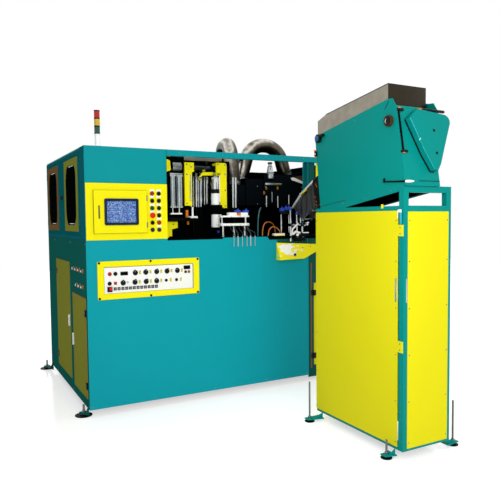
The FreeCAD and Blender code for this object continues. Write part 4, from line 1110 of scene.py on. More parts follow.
    def build_trim(self) -> None:
        """Adds the rust-brown edge strip, skin screws and the rear service covers."""
        strip = Piece("edge_strip", RUST_BRUSH)
        strip.brush((2040, 2053), (9.6, 12.2), 147, 15.2, 65)
        # Dark teal sheets of painted shade round the recessed right door.
        shade = Piece("door_surround_painted_shade", TEAL_STILE)
        for x, z in (((2011, 2072), (66, 1384)), ((2072, 2546), (944, 1384)),
                     ((2072, 2546), (66, 175)), ((2491, 2546), (175, 944))):
            shade.block(x, (11.1, 11.9), z)
        screws = Piece("skin_screws", ZINC)
        spots = [(x, 0, 112) for x in (20, 520, 1050, 1560, 1990)]
        screws.screws(spots, FRONT, 5, 2.5)
        side = [(0, y, z) for y in (24, 585, 1300, 1640) for z in (112, 1360)]
        screws.screws(side, LEFT, 5, 2.5)
        back = [(x, DEEP, z) for x in range(40, 2540, 411) for z in (112, 740, 1380, 2070)]
        screws.screws(back, (0, 1, 0), 5, 2.5)
        end = [(LONG, y, z) for y in range(60, 1660, 393) for z in (112, 740, 1380, 2070)]
        screws.screws(end, RIGHT, 5, 2.5)
        louvres = [(z, z + 12) for z in (980 + 26 * k for k in range(9))]
        covers = Piece("rear_covers", TEAL_STILE)
        for x in (80, 700, 1320, 1940):
            covers.block((x, x + 530), (1664, 1668), (190, 1290), 2)
            covers.block((x, x + 530), (1664, 1668), (1460, 2010), 2)
            for z in louvres:
                covers.block((x + 120, x + 410), (1667, 1672), z, 2.4,
                             Matrix.Rotation(math.radians(-24), 3, "X"))
        end_cover = Piece("end_covers", TEAL_STILE)
        for y in (110, 880):
            end_cover.block((2548, 2552), (y, y + 690), (190, 1290), 2)
            end_cover.block((2548, 2552), (y, y + 690), (1460, 2010), 2)
            for z in louvres:
                end_cover.block((2551, 2556), (y + 190, y + 500), z, 2.4,
                                Matrix.Rotation(math.radians(24), 3, "Y"))


@dataclass
class HeaterPanel(Assembly):
    """The heater instrument panel with its knobs, controllers and keys.

    Attributes:
        upper_knobs: Across of the knobs in the upper row.
        lower_knobs: Across of the knobs in the lower row.
        lower_displays: Across of the places whose display stands in the lower row.
        upper_row: Height of the upper row.
        lower_row: Height of the lower row.
        face: Along of the panel's front face.
        keys: Across of the first key, distance between keys and number of keys.
    """

    upper_knobs: tuple[float, ...] = (375, 460, 550, 637, 726)
    lower_knobs: tuple[float, ...] = (277, 371, 462, 549)
    lower_displays: tuple[float, ...] = (371, 462, 549, 629, 717)
    upper_row: float = 1127.0
    lower_row: float = 1053.0
    face: float = -3.0
    keys: tuple[float, float, int] = (213, 30.2, 12)

    def build(self) -> None:
        """Dresses the rim and replaces the face by a finished one."""
        self.dress(YELLOW, "heater_panel_frame")
        Piece("heater_face", WHITE, Body.MACHINE, "heater_panel_face").block(
            (128.2, 865.8), (-3, 0), (975.2, 1180.8), 0.6)
        line = Piece("heater_face_gasket", BLACK_PLASTIC)
        for x in ((127.6, 130.6), (859.4, 864)):
            line.block(x, (-4.4, -3), (975, 1177), 1)
        for z in ((974.6, 976.6), (1177, 1180.6)):
            line.block((128, 862), (-4.4, -3), z, 0.6)
        self.build_knobs()
        self.build_switches()
        Piece("heater_bolts", BLACK_PLASTIC).screws(
            [(x, -8, z) for x in (92, 499, 902) for z in (1214, 941)], FRONT, 9.5, 4.6)

    def build_knobs(self) -> None:
        """Turns the pointer knobs and sets a small lit display beside each."""
        knobs = Piece("heater_knobs", BLACK_PLASTIC)
        marks = Piece("knob_pointers", WHITE_PLASTIC)
        lit = Piece("heater_displays", AMBER_LIGHT)
        frames = Piece("display_frames", ZINC)
        upper = [(x, self.upper_row) for x in self.upper_knobs]
        for k, (x, z) in enumerate(upper + [(x, self.lower_row) for x in self.lower_knobs]):
            foot = (x, self.face, z)
            angle = math.radians(18 * (k % 4) - 20)
            knobs.turned(foot, FRONT, [(21, 0), (21, 2), (18.5, 4), (17, 5), (15.6, 13),
                                       (14, 15)], 30)
            lean = Matrix.Rotation(angle, 3, "Y")
            knobs.block((x - 5, x + 5), (-19, -7), (z - 17, z + 25), 1.6, lean)
            tip = (x + 14.0 * math.sin(angle), -19.2, z + 14.0 * math.cos(angle))
            marks.turned(tip, FRONT, [(1.8, 0), (1.8, 0.8)], 10)
        for x, z in upper + [(x, self.lower_row) for x in self.lower_displays]:
            frames.block((x + 30, x + 46), (-5, self.face), (z - 12, z + 15), 0.8)
            lit.block((x + 31, x + 45), (-5.8, -4.6), (z - 11, z + 14), 0.4)

    def build_switches(self) -> None:
        """Adds the controllers, push buttons, pilot lights, rocker and the row of keys."""
        black = Piece("heater_switch_bodies", BLACK_PLASTIC)
        black.block((256, 316), (-8, self.face), (1111, 1141), 8)
        black.block((780, 838), (-8, self.face), (1133, 1165), 9)
        black.block((152, 192), (-8, self.face), (988, 1029), 1.2)
        for x, z in ((217, 1127), (171, 1053)):
            black.turned(
                (x, self.face, z), FRONT, [(15.5, 0), (15.5, 5), (12.5, 7), (11.5, 10), (0, 10.6)], 28)
        for x in (629, 717):
            black.turned((x, self.face, 1053), FRONT, [(12.5, 0), (12.5, 3), (10, 6), (0, 6.6)], 24)
        first, step, count = self.keys
        places = [first + step * k for k in range(count)]
        for x in places:
            black.block((x - 12, x + 12), (-6, self.face), (998, 1022), 1.2)
        windows = Piece("controller_windows", GLASS)
        windows.block((264, 308), (-8.8, -7.6), (1119, 1133), 0.4)
        windows.block((788, 830), (-8.8, -7.6), (1142, 1156), 0.4)
        keys = Piece("heater_keys", ZINC)
        for x in places:
            keys.block((x - 6.5, x + 6.5), (-8.6, -5.8), (1003.5, 1016.5), 1)
        Piece("heater_oval_meter", BRIGHT).turned(
            (312, self.face, 1056), FRONT, [(9, 0), (9, 4), (7, 5.6)], 24)
        for name, finish, x in (("green", DARK_GREEN_PLASTIC, 797), ("brown", RUST_BRUSH, 826)):
            Piece(f"heater_pilot_{name}", finish).turned(
                (x, self.face, 1113), FRONT, [(12, 0), (12, 3), (10, 5.5), (0, 7)], 24)
        Piece("heater_rocker", RED_PLASTIC).block(
            (168, 188), (-12.0, -7.0), (1000, 1026), 1.8, Matrix.Rotation(math.radians(10), 3, "X"))
        caps = Piece("heater_buttons_red", DARK_RED_PLASTIC)
        caps.turned((173, self.face, 1127), FRONT, [(15, 0), (15, 5), (12.5, 7), (11.5, 10), (0, 10.6)], 28)
        caps.block((204, 227), (-9.5, self.face), (1042, 1065), 1.8)


# --- control tower ---


@dataclass
class ControlTower(Assembly):
    """The control tower with its panel, screen hatch, push buttons and signal tower.

    Attributes:
        columns: Across of the two button columns.
        low: Height of the lowest button.
        step: Distance between button rows.
    """

    columns: Span = (523, 578)
    low: float = 1460.0
    step: float = 57.4

    def build(self) -> None:
        """Dresses the tower's solids and adds its fittings."""
        self.dress(TEAL_UPPER, "tower_shell", "upper_frame")
        self.dress(YELLOW, "operator_panel", "operator_hatch", "upper_right_panel")
        self.dress(NAVY, "screen_bezel")
        self.dress(SCREEN, "screen_glass")
        self.build_buttons()
        self.build_labels()
        self.build_hatch()
        self.build_signal()
        self.build_roof()
        self.build_shaded_sheets()

    def row_height(self, row: int) -> float:
        """Height of one of the six button rows, counted from the top."""
        return self.low + self.step * (5 - row)

    def button_places(self) -> list[tuple[str, float, float, Finish]]:
        """Lists the push buttons.

        Returns:
            Name, across, up and finish of each button.
        """
        pairs = (
            (DARK_RED_PLASTIC, BLACK_PLASTIC), (BLACK_PLASTIC, BLACK_PLASTIC),
            (DARK_GREEN_PLASTIC, BLACK_PLASTIC), (RED_PLASTIC, BLACK_PLASTIC),
            (BLACK_PLASTIC, DARK_RED_PLASTIC), (NAVY_PLASTIC, NAVY_PLASTIC))
        places = []
        for row, pair in enumerate(pairs):
            for side, x, finish in zip(("left", "right"), self.columns, pair):
                name = "stop_button" if (row, side) == (3, "left") else f"button_{row + 1}_{side}"
                places.append((name, x, self.row_height(row), finish))
        return places

    def build_buttons(self) -> None:
        """Turns each cap and gives every button its bright collar."""
        for name, x, z, finish in self.button_places():
            cap = Piece(f"{name}_cap", finish, f"{name}_body", name)
            if name == "stop_button":
                profile = [(11.9, -14), (11.9, 6.6), (14, 9), (21.4, 12), (22, 14), (20.4, 17.6),
                           (14, 20.6), (6, 21.8), (0, 22)]
            else:
                profile = [(11.9, -14), (11.9, 5.4), (14.4, 5.6), (14.4, 12), (13.4, 13.2), (11.6, 13.4),
                           (11.2, 15.6), (10, 16)]
            cap.turned((x, -3, z), FRONT, profile, 36)
        collars = Piece("button_collars", BLACK_PLASTIC)
        for _, x, z, _ in self.button_places():
            collars.ring((x, -3, z), FRONT, [(15, 0), (17.6, 0), (17.2, 3), (15, 3.8)], 36)

    def build_labels(self) -> None:
        """Adds the blank white plates between the buttons."""
        plates = Piece("blank_plates", WHITE_PLASTIC)
        left, right = self.columns
        heights = [self.row_height(row) for row in range(5)]
        for x in (left, right):
            for z in (heights[0] + 24, heights[0] - 24, heights[1] - 30, heights[2] - 29):
                plates.block((x - 19, x + 19), (-4.2, -3), (z - 7.5, z + 7.5), 0.5)
        for z in (heights[3] - 27, heights[4] - 27):
            plates.block((right - 19, right + 19), (-4.2, -3), (z - 7.5, z + 7.5), 0.5)

    def build_hatch(self) -> None:
        """Adds the hatch's grip liner, shadow seal, hinge pins and inner screen frame, and the panel's
        screws.
        """
        Piece("hatch_grip_liner", NAVY_PLASTIC, Body.HATCH).block((97, 106), (-14, -8.4), (1552, 1651), 2)
        edge = Piece("hatch_shadow_seal", BLACK_PLASTIC, Body.HATCH)
        for x in ((59.6, 61.2), (476.8, 478.2)):
            edge.block(x, (-14.8, -4), (1439, 1768))
        for z in ((1438.8, 1440.2), (1766.8, 1768.2)):
            edge.block((60, 478), (-14.8, -4), z)
        pins = Piece("hatch_hinge_pins", ZINC, Body.HATCH)
        for z in (1500, 1710):
            pins.turned((477, -15.4, z - 22), UP, [(4.2, 0), (4.7, 1), (4.7, 43), (4.2, 44)], 18)
        Piece("panel_screws", ZINC).screws(
            [(x, 14, z) for x in (2118, 2300, 2482) for z in (1466, 2034)], FRONT, 4.6, 2.2)
        frame = Piece("screen_inner_frame", BLACK_PLASTIC, Body.HATCH)
        for x in ((155, 160), (386, 391)):
            frame.block(x, (-20.4, -19.2), (1516, 1690), 0.3)
        for z in ((1516, 1521), (1685, 1690)):
            frame.block((155, 391), (-20.4, -19.2), z, 0.3)

    def build_signal(self) -> None:
        """Turns the signal tower's column, rings and lenses."""
        x, y, top = 112, 34, HEAD_TOP
        column = Piece("signal_column", WHITE_PLASTIC, Body.MACHINE, "signal_foot")
        column.turned((x, y, top), UP, [(29, 0), (29, 4), (26, 6), (19, 6), (19, 84), (22, 87), (22, 96)], 36)
        column.screws(
            [(x + 24 * math.cos(a), y + 24 * math.sin(a), top + 4) for a in (0.8, 2.4, 3.9, 5.5)], UP, 2.4,
            1.4)
        rings = Piece("signal_rings", GREY_BLUE)
        for k in (1, 2, 3):
            low = top + 96 + 50 * k + 8 * (k - 1)
            rings.turned((x, y, low), UP, [(22, 0), (22, 6.8), (20.5, 8)], 36)
        rings.turned((x, y, top + 92), UP, [(22.2, 0), (22.2, 4)], 36)
        for k, (name, finish) in enumerate((("green", LENS_GREEN), ("amber", LENS_AMBER), ("red", LENS_RED))):
            lens = Piece(f"signal_lens_{name}", finish, Body.MACHINE, *(("signal_lenses",) if k == 0 else ()))
            low = top + 96 + 58 * k
            lens.turned((x, y, low), UP, [(20.6, 0), (21.4, 3), (21, 25), (21.4, 47), (20.6, 50)], 36)

    def build_roof(self) -> None:
        """Adds the folded edges and seams of the tower's head and roof."""
        seam = Piece("tower_seams", TEAL_STILE)
        seam.block((0, 648), (-1, 0.4), (1820, 1823.5))
        seam.block((646, 649.2), (-1, 0.2), (BED_TOP, HEAD_TOP))
        bolts = Piece("roof_bolts", ZINC)
        bolts.screws([(x, y, HEAD_TOP) for x in (30, 320, 615) for y in (60, 600, 1140, 1620)], UP, 6, 3)
        bolts.screws([(x, 0, 2076) for x in (760, 1150, 1560, 1960, 2400)], FRONT, 4.6, 2.2)

    def build_shaded_sheets(self) -> None:
        """Faces the tower's left end and the bay's recessed right stile with teal sheets of painted shade,
        and lines the rear rail, the right end rail and the stile's lower part with black painted shade.
        """
        left = Piece("left_end_sheets", TEAL_POST_PAINTED_SHADE)
        for y, z in (((0.2, 174.6), (1388.2, 2099.6)), ((174.8, 1662.8), (1388.2, 1420.6)),
                     ((174.8, 1662.8), (2065.4, 2091.6)), ((1626.4, 1662.8), (1420.8, 2065.2))):
            left.block((-0.7, -0.05), y, z)
        # Teal sheets of painted shade on the recessed stile and its front edge.
        Piece("bay_recess_sheet", TEAL_STILE).block((2014.2, 2099.8), (25.2, 25.95), (1790, 2051))
        stile = Piece("bay_stile_sheet", TEAL_LEAF_PAINTED_SHADE)
        stile.block((1999.2, 1999.95), (0.4, 60), (1790, 2051))
        stile.block((2000.2, 2014), (-0.7, -0.05), (1790, 2051))
        # Black painted shade on the rear rail, the right end rail and the stile's lower part.
        rear = Piece("rear_rail_sheets", BLACK)
        rear.block((26, 2496), (1612.2, 1612.95), (2043, 2091))
        rear.block((2496.2, 2496.95), (52, 1612), (2043, 2091))
        rear.block((2014.2, 2099.8), (25.2, 25.95), (1389, 1790))
        rear.block((1999.2, 1999.95), (0.4, 60), (1389, 1790))
        rear.block((2000.2, 2014), (-0.7, -0.05), (1389, 1790))


@dataclass
class SideDoors(Assembly):
    """The two window doors on the left side of the blow bay.

    Attributes:
        leaf_split: Where the leaves meet.
    """

    leaf_split: float = 896.0

    def build(self) -> None:
        """Dresses the leaves, frames and glass, and adds hinges and locks."""
        # The left window leaves, their frames and hinges are darkened with painted shade.
        self.dress(TEAL_LEAF_PAINTED_SHADE, "window_door_near", "window_door_far")
        self.dress(YELLOW_PAINTED_SHADE, "window_frame_near")
        self.dress(YELLOW_DEEP_PAINTED_SHADE, "window_frame_far")
        self.dress(GLASS, "window_glass_near", "window_glass_far")
        for side, pin, step, start, body in (
            ("near", 180, 1, 240, Body.WINDOW_NEAR), ("far", 1618, -1, 1066, Body.WINDOW_FAR)):
            hinges = Piece(f"window_hinges_{side}", TEAL_POST_PAINTED_SHADE, body)
            for z in (1525, 1965):
                hinges.turned((-3, pin, z - 27), UP, [(5.2, 0), (6, 1.4), (6, 52.6), (5.2, 54)], 20)
                hinges.block((-3.4, 0.2), (pin + 4 * step, pin + 32 * step), (z - 24, z + 24), 1.2)
            gasket = Piece(f"window_gasket_{side}", BLACK_PLASTIC, body)
            self.gasket(gasket, start)
            # Bright strips at the top and bottom of each window are painted highlights.
            glint_strip = Piece(f"window_painted_glint_{side}", BRIGHT, body)
            for z in (1512, 1980):
                glint_strip.block((-2, 0.2), (start + 150, start + 330), (z, z + 5), 0.8)
            lock = Piece(f"window_lock_{side}", BLACK_PLASTIC, body)
            place = self.leaf_split - 26 * step
            lock.turned((0, place, 1742), LEFT, [(15, 0), (15, 3.5), (12, 5.5)], 28)
            lock.block((-14, -3), (place - 5, place + 5), (1724, 1760), 2.2)

    def gasket(self, piece: Piece, start: float) -> None:
        """Lays the black rubber round one window's inner edge.

        Args:
            piece: The piece that gets it.
            start: Where the window's frame starts along the side.
        """
        left, right = start + 48, start + 466
        low, high = 1500, 1992
        for y in ((left, left + 5), (right - 5, right)):
            piece.block((-2.4, 0.4), y, (low + 100, high - 100), 0.6)
        for z in ((low, low + 5), (high - 5, high)):
            piece.block((-2.4, 0.4), (left + 100, right - 100), z, 0.6)


# --- bay ---


@dataclass
class BlowStation(Assembly):
    """The clamp, stretch cylinders and blow nozzle in the bay.

    Attributes:
        plane: Along of the platens' front faces.
        stretchers: Across of the two stretch cylinders.
        ties: Across of the thick tie rods.
        line: Along of the stretch cylinders' axes.
        tie_line: Along of the tie rods' axes.
    """

    plane: float = 262.0
    stretchers: Span = (790.0, 849.0)
    ties: Point = (1010.0, 1062.0, 1106.0)
    line: float = 250.0
    tie_line: float = 370.0

    def build(self) -> None:
        """Dresses the station's solids and adds its round and small parts."""
        self.dress(YELLOW, "clamp_frame")
        self.dress(YELLOW, "moving_platen")
        self.dress(BLACK, "station_base")
        self.build_clamp()
        self.build_stretch()
        self.build_nozzle()
        self.build_fittings()

    def build_clamp(self) -> None:
        """Turns the clamp cylinder, its rod and its stop."""
        barrel = Piece("clamp_barrel", BLACK, Body.MACHINE, "clamp_cylinder")
        barrel.rod((792, 306, 1992), (903, 306, 1992), 37.5, 40, 1.5)
        for x in (790, 893):
            barrel.block((x, x + 14), (266, 346), (1952, 2032), 3)
        barrel.block((800, 880), (336, 388), (1972, 2013), 1.5)
        Piece("clamp_tube", ZINC).rod((807, 306, 1992), (890, 306, 1992), 39, 40, 1)
        Piece("clamp_guide", GUN_METAL).rod((905, 306, 1992), (1211, 306, 1992), 18.6, 36, 1.2)
        stop = Piece("clamp_stop", GREY_BLUE)
        stop.block((1165, 1210), (286, 388), (1958, 2013), 2)
        stop.screws([(1188, 286, z) for z in (1970, 2002)], FRONT, 6, 5)

    def build_stretch(self) -> None:
        """Turns the stretch cylinders, tie rods and the moving rods with their foot."""
        tubes = Piece("stretch_tubes", BRIGHT, Body.MACHINE, "stretch_cylinders")
        for x in self.stretchers:
            tubes.ring((x, self.line, 1655), UP, [(8.2, 0), (25.5, 0), (25.5, 252), (8.2, 252)], 36)
            for z in (1641, 1905):
                tubes.block((x - 27, x - 7.2), (224, 276), (z, z + 15), 1.5)
                tubes.block((x + 7.2, x + 27), (224, 276), (z, z + 15), 1.5)
                tubes.block((x - 8, x + 8), (224, 241), (z, z + 15), 1)
                tubes.block((x - 8, x + 8), (259, 276), (z, z + 15), 1)
        tubes.block((764, 876), (230, 388), (1922, 1934), 1.2)
        rods = Piece("tie_rods", CHROMED)
        for x in self.ties:
            rods.rod((x, self.tie_line, 1650), (x, self.tie_line, 1956), 12.6, 28, 0.8)
        for x in (772, 868):
            rods.rod((x, 232, 1650), (x, 232, 1912), 3.4, 12)
        for x, radius in ((1036, 5), (1084, 5), (1142, 7), (1166, 11)):
            rods.rod((x, 372, 1650), (x, 372, 1922), radius, 20, 0.6)
        dark = Piece("rear_cylinder", DARK_STEEL)
        for x in self.ties:
            dark.rod((x, self.tie_line, 1556), (x, self.tie_line, 1652), 14, 24, 1)
        dark.turned(
            (898, 368, 1690), UP, [(19, 0), (19, 14), (16.5, 16), (16.5, 214), (19, 216), (19, 230)], 32)
        moving = Piece("stretch_rods_round", CHROMED, Body.STRETCH, "stretch_rods")
        for x in self.stretchers:
            moving.rod((x, self.line, 1590), (x, self.line, 1768), 7.1, 24, 0.5)
        foot = Piece("stretch_foot", WHITE_PLASTIC, Body.STRETCH)
        foot.block((768, 871), (234, 266), (1584, 1596), 1.2)
        for x in self.stretchers:
            foot.ring((x, self.line, 1596), UP, [(7.1, 0), (12, 0), (12, 2.6), (11, 3.6), (7.1, 3.6)], 24)

    def build_nozzle(self) -> None:
        """Turns the blow nozzle with its dark cap and white sleeve."""
        x, y = 1172, 210
        Piece("nozzle_body", CHROMED, Body.MACHINE, "blow_nozzle").turned(
            (x, y, 1800), UP, [(33, 0), (33, 100), (31, 104), (24, 106), (24, 112)], 40)
        Piece("nozzle_cap", BLACK_PLASTIC).turned(
            (x, y, 1766), UP, [(36, 0), (38, 2), (38, 34), (36, 36)], 40)
        white = Piece("nozzle_guard", WHITE_PLASTIC)
        white.turned((x, y, 1666), UP, [(34.5, 0), (36, 2), (36, 98), (34, 100), (30, 102), (30, 112)], 40)
        white.turned((x, y, 1470), UP, [(36, 0), (36.4, 2), (36.4, 110), (35, 113)], 40)
        brackets = Piece("nozzle_brackets", ZINC)
        for z in (1716, 1840):
            brackets.block((x - 22, x + 22), (y + 26, 263), (z, z + 26), 2)

    def build_fittings(self) -> None:
        """Adds plates, caps, bolts and valves on and about the platens."""
        # The valve blocks' yellow is darkened with painted shade.
        yellow_shade_blocks = Piece("valve_blocks", YELLOW_PAINTED_SHADE)
        for x, z in ((1083, 1963), (1188, 1940), (1230, 1940), (1042, 1888)):
            yellow_shade_blocks.block((x - 12, x + 12), (240, 261.2), (z - 9, z + 9), 2)
        Piece("adjusting_knob", BLACK_PLASTIC).turned(
            (1132, 300, 2020), UP, [(6, 0), (6, 8), (10, 10), (10, 22), (8, 25)], 24)
        Piece("platen_bolts", ZINC, Body.PLATEN).screws(
            [(x, self.plane, z) for x, z in ((970, 1996), (928, 2016), (928, 1680), (928, 1930))], FRONT,
            6.5, 5)
        Piece("platen_slot", BRIGHT, Body.PLATEN).block(
            (956, 968), (self.plane - 1.4, self.plane + 1), (1700, 1930), 0.6)
        Piece("frame_bolts", ZINC).screws(
            [(x, self.plane, z) for x, z in ((1226, 2024), (1296, 2024), (1226, 1940), (1296, 1940),
            (1296, 1660), (1260, 1660), (1296, 1800), (672, 2036), (740, 2036), (672, 1500), (800, 1500),
            (672, 1410))], FRONT, 6.5, 5)
        strip = Piece("white_edge_strip", WHITE_PLASTIC)
        strip.block((1233, 1242), (256, 262), (1692, 1923), 0.8)
        strip.block((1256, 1273), (300, 316), (1563, 1660), 1.2)
        strip.block((1256, 1273), (300, 388), (1600, 1616), 1.2)
        bars = Piece("station_rails", DARK_STEEL)
        for y in (211, 299):
            bars.block((742, 1014), (y - 0.6, y + 20.6), (1529, 1556), 1.2)
        rails = Piece("station_table", WHITE_PLASTIC)
        rails.turned((973, self.line, 1556), UP, [(42, 0), (44, 2), (44, 10), (42, 12), (9, 12), (8, 90)], 28)
        rails.block((940, 1004), (210, 320), (1552, 1560), 1)
        orange = Piece("station_sensors", ORANGE_PLASTIC)
        orange.block((928, 950), (290, 316), (1555, 1622), 2)
        orange.block((938, 955), (288, 300), (1495, 1528), 2)
        Piece("bay_dial", BLUE_PLASTIC).turned(
            (1280, 388, 1424), FRONT, [(13, 0), (13, 6), (10, 10), (0, 11)], 28)
        dark = Piece("station_back_bracket", BLACK)
        dark.block((1300, 1378), (333, 339), (2020, 2062), 3)
        dark.block((1352, 1378), (333, 339), (BED_TOP, 2030), 2)
        Piece("bay_crossbar", GREY_CAST).block((944, 1311), (355.6, 357.9), (2059, 2091), 0.5)
        Piece("station_post", DARK_STEEL).rod((979, self.line, BED_TOP), (979, self.line, 1533), 9, 24, 0.8)


@dataclass
class Outfeed(Assembly):
    """The white guide plates, posts and small rods in front of the station.

    Attributes:
        left: Where the plates start.
        right: Where they end.
        line: Along of the axes of the posts under the plates.
        rear_posts: Across of the two posts behind the plates.
        tubes: Across and radius of each drop tube.
    """

    left: float = 1150.0
    right: float = 1420.0
    line: float = 77.0
    rear_posts: Span = (1392.0, 1420.0)
    tubes: tuple[Span, ...] = ((1241, 3.6), (1280, 6.4), (1322, 3.6), (1367, 3.6), (1402, 6.4), (1446, 3.6))

    def build(self) -> None:
        """Replaces the plain rails by finished ones."""
        white = Piece("guide_plates", WHITE_PLASTIC, Body.MACHINE, "outfeed_rails")
        white.block((self.left, self.right), (45, 110), (1556, 1570), 3)
        white.block((self.left, self.right), (45, 110), (1482, 1503), 3)
        white.block((self.left + 80, self.left + 152), (51, 104), (1569, 1596), 3)
        white.block((self.right - 76, self.right - 8), (51, 104), (1569, 1596), 3)
        steel = Piece("guide_posts", CHROMED)
        for x in (30, 135, 240):
            steel.turned((self.left + x, self.line, BED_TOP), UP, [(15, 0), (15, 6), (9, 8), (9, 94)], 24)
        for x in (20, 250):
            steel.turned(
                (self.left + x, self.line, 1503), UP, [(12, 0), (12, 8), (8, 10), (8, 43), (12, 45),
                (12, 53)], 24)
        for x in self.rear_posts:
            steel.turned((x, 300, 1640), UP, [(11, 0), (11, 274), (9, 276)], 28)
        sleeves = Piece("guide_sleeves", DARK_STEEL)
        for x in self.rear_posts:
            sleeves.turned((x, 300, BED_TOP), UP, [(13, 0), (13, 8), (12, 10), (12, 256)], 28)
        bolts = Piece("guide_bolts", ZINC)
        bolts.screws([(self.left + x, self.line, 1596) for x in (98, 134, 212, 244)], UP, 6, 5)
        bolts.screws(
            [(self.left + x, 45, z) for x in (12, 90, 180, 258) for z in (1563, 1492)], FRONT, 3.6, 2)
        blue = Piece("push_in_fittings", BLUE_PLASTIC)
        for x, low in ((1320, 1596), (1400, 1596)):
            blue.block((x - 24, x + 26), (62, 92), (low, low + 20), 3)
            blue.turned((x + 8, self.line, low + 18), UP, [(8, 0), (8, 8), (6, 10), (6, 16)], 20)
        Piece("guide_sensor", ORANGE_PLASTIC).block((1304, 1342), (58, 96), (1569, 1592), 2)
        tubes = Piece("drop_tubes", CLEAR_TUBE)
        for x, wide in self.tubes:
            tubes.rod((x, -9, 1306), (x, -9, 1394), wide, 16, 0.6)
        smoked = Piece("drop_tube_tops", SMOKED_TUBE)
        for x, wide in self.tubes:
            top = min(x, 1412)
            smoked.pipe([(x, -9, 1392), (x, -9, 1420), (top, 52, 1456), (top, 52, 1486)], 14, wide * 0.9, 16)


@dataclass
class Oven(Assembly):
    """The heating oven with its exhaust ducts and small gear.

    Attributes:
        bend: Radius of the ducts' bends.
        duct: Radius of a duct.
    """

    bend: float = 205.0
    duct: float = 69.6

    def build(self) -> None:
        """Dresses the oven and replaces its ducts by smooth tubes."""
        self.dress(BLACK, "oven_housing")
        Piece("exhaust_duct_wide", DUCTING, Body.MACHINE, "oven_ducts", crease=60).pipe(
            [(1652, 690, 1868), (1784, 690, 2276), (2106, 690, 2276), (2192, 690, 1975)], self.bend,
            self.duct)
        Piece("exhaust_duct_narrow", DUCTING, crease=60).pipe(
            [(1511, 526, 1868), (1496, 560, 2260), (1560, 868, 2260), (1572, 907, 1868)], self.bend * 0.72,
            self.duct)
        collars = Piece("duct_collars", ZINC)
        for x, y, z, top in ((1670, 690, 1925, (1784, 690, 2276)), (1511, 526, 1868, (1496, 560, 2260)),
                             (1570, 902, 1925, (1560, 868, 2260)), (2192, 690, 1975, (2106, 690, 2276))):
            ahead = spot(*top) - spot(x, y, z)
            collars.ring((x, y, z), tuple(ahead), [(69, 4), (74, 4), (74, 26), (69, 26)], 48)
            collars.ring((x, y, z), UP, [(68, 0), (88, 0), (88, 4), (68, 4)], 40)
        valve = Piece("valve_cylinder", BRIGHT)
        valve.turned((1896, 490, 1975), UP, [(38.6, 0), (38.6, 4), (34, 12), (25.6, 66), (24, 74)], 36)
        valve.turned((1896, 490, 2049), UP, [(17.6, 0), (17.6, 26)], 36)
        valve.turned((1876, 450.9, 1930), UP, [(34, 0), (34, 4), (28, 40)], 36)
        head = Piece("valve_head", DARK_STEEL)
        head.turned((1896, 490, 2074), UP, [(22.6, 0), (22.6, 12), (20, 16)], 36)
        head.rod((1884, 467, 1996), (1884, 463, 2040), 3, 12, 0.5)
        self.build_panels()

    def build_panels(self) -> None:
        """Adds cover sheets, the silver plate, brass fittings and the slanted lamp panel."""
        covers = Piece("oven_covers", GREY_BLUE)
        for left, right, top in ((1446, 1594, 1862), (1606, 1794, 1919), (1806, 2250, 1969)):
            covers.block((left, right), (447.5, 451), (1671, top), 1.2)
        Piece("oven_bolts", ZINC).screws(
            [(x, 447.5, z) for x in (1456, 1730, 1816, 2240) for z in (1682, 1850)], FRONT, 5, 3)
        Piece("oven_ledge", BRIGHT).block((1805, 1991), (427.4, 451), (1865.4, 1884.6), 1)
        brass = Piece("brass_fittings", BRASS)
        for x, z in ((1825, 1846), (1954, 1846), (1801, 1800)):
            brass.turned((x, 447, z - 26), UP, [(7, 0), (7, 8), (12, 10), (12, 24), (8, 26), (8, 34)], 18)
            brass.rod((x, 447, z - 12), (x, 428, z - 12), 7, 16, 0.8)
        strips = Piece("oven_guide_strips", CHROMED)
        for x, low, high in ((1824, 1653, 1763), (1953, 1646, 1764), (2080, 1676, 1775), (1888, 1700, 1800)):
            strips.rod((x, 441, low), (x, 441, high), 8.5 if x != 1888 else 4, 20, 0.8)
        dark = Piece("oven_clamps", DARK_STEEL)
        for x, z in ((1824, 1770), (1953, 1770), (2080, 1782), (1888, 1690)):
            dark.block((x - 16, x + 16), (432, 451), (z - 9, z + 9), 2)
        Piece("lamp_panel", WHITE).slab(
            [(2103, 436, 1941), (2136, 436, 1946), (2285, 436, 1893), (2285, 436, 1873), (2111, 436, 1920)],
            (0, 9, 0), 1)
        # The brown backing behind the lamp panel is painted shade.
        Piece("lamp_backing", BROWN).slab(
            [(2130, 446, 1949), (2249, 446, 1968), (2249, 446, 1888), (2104, 446, 1930)], (0, 5, 0), 0.6)


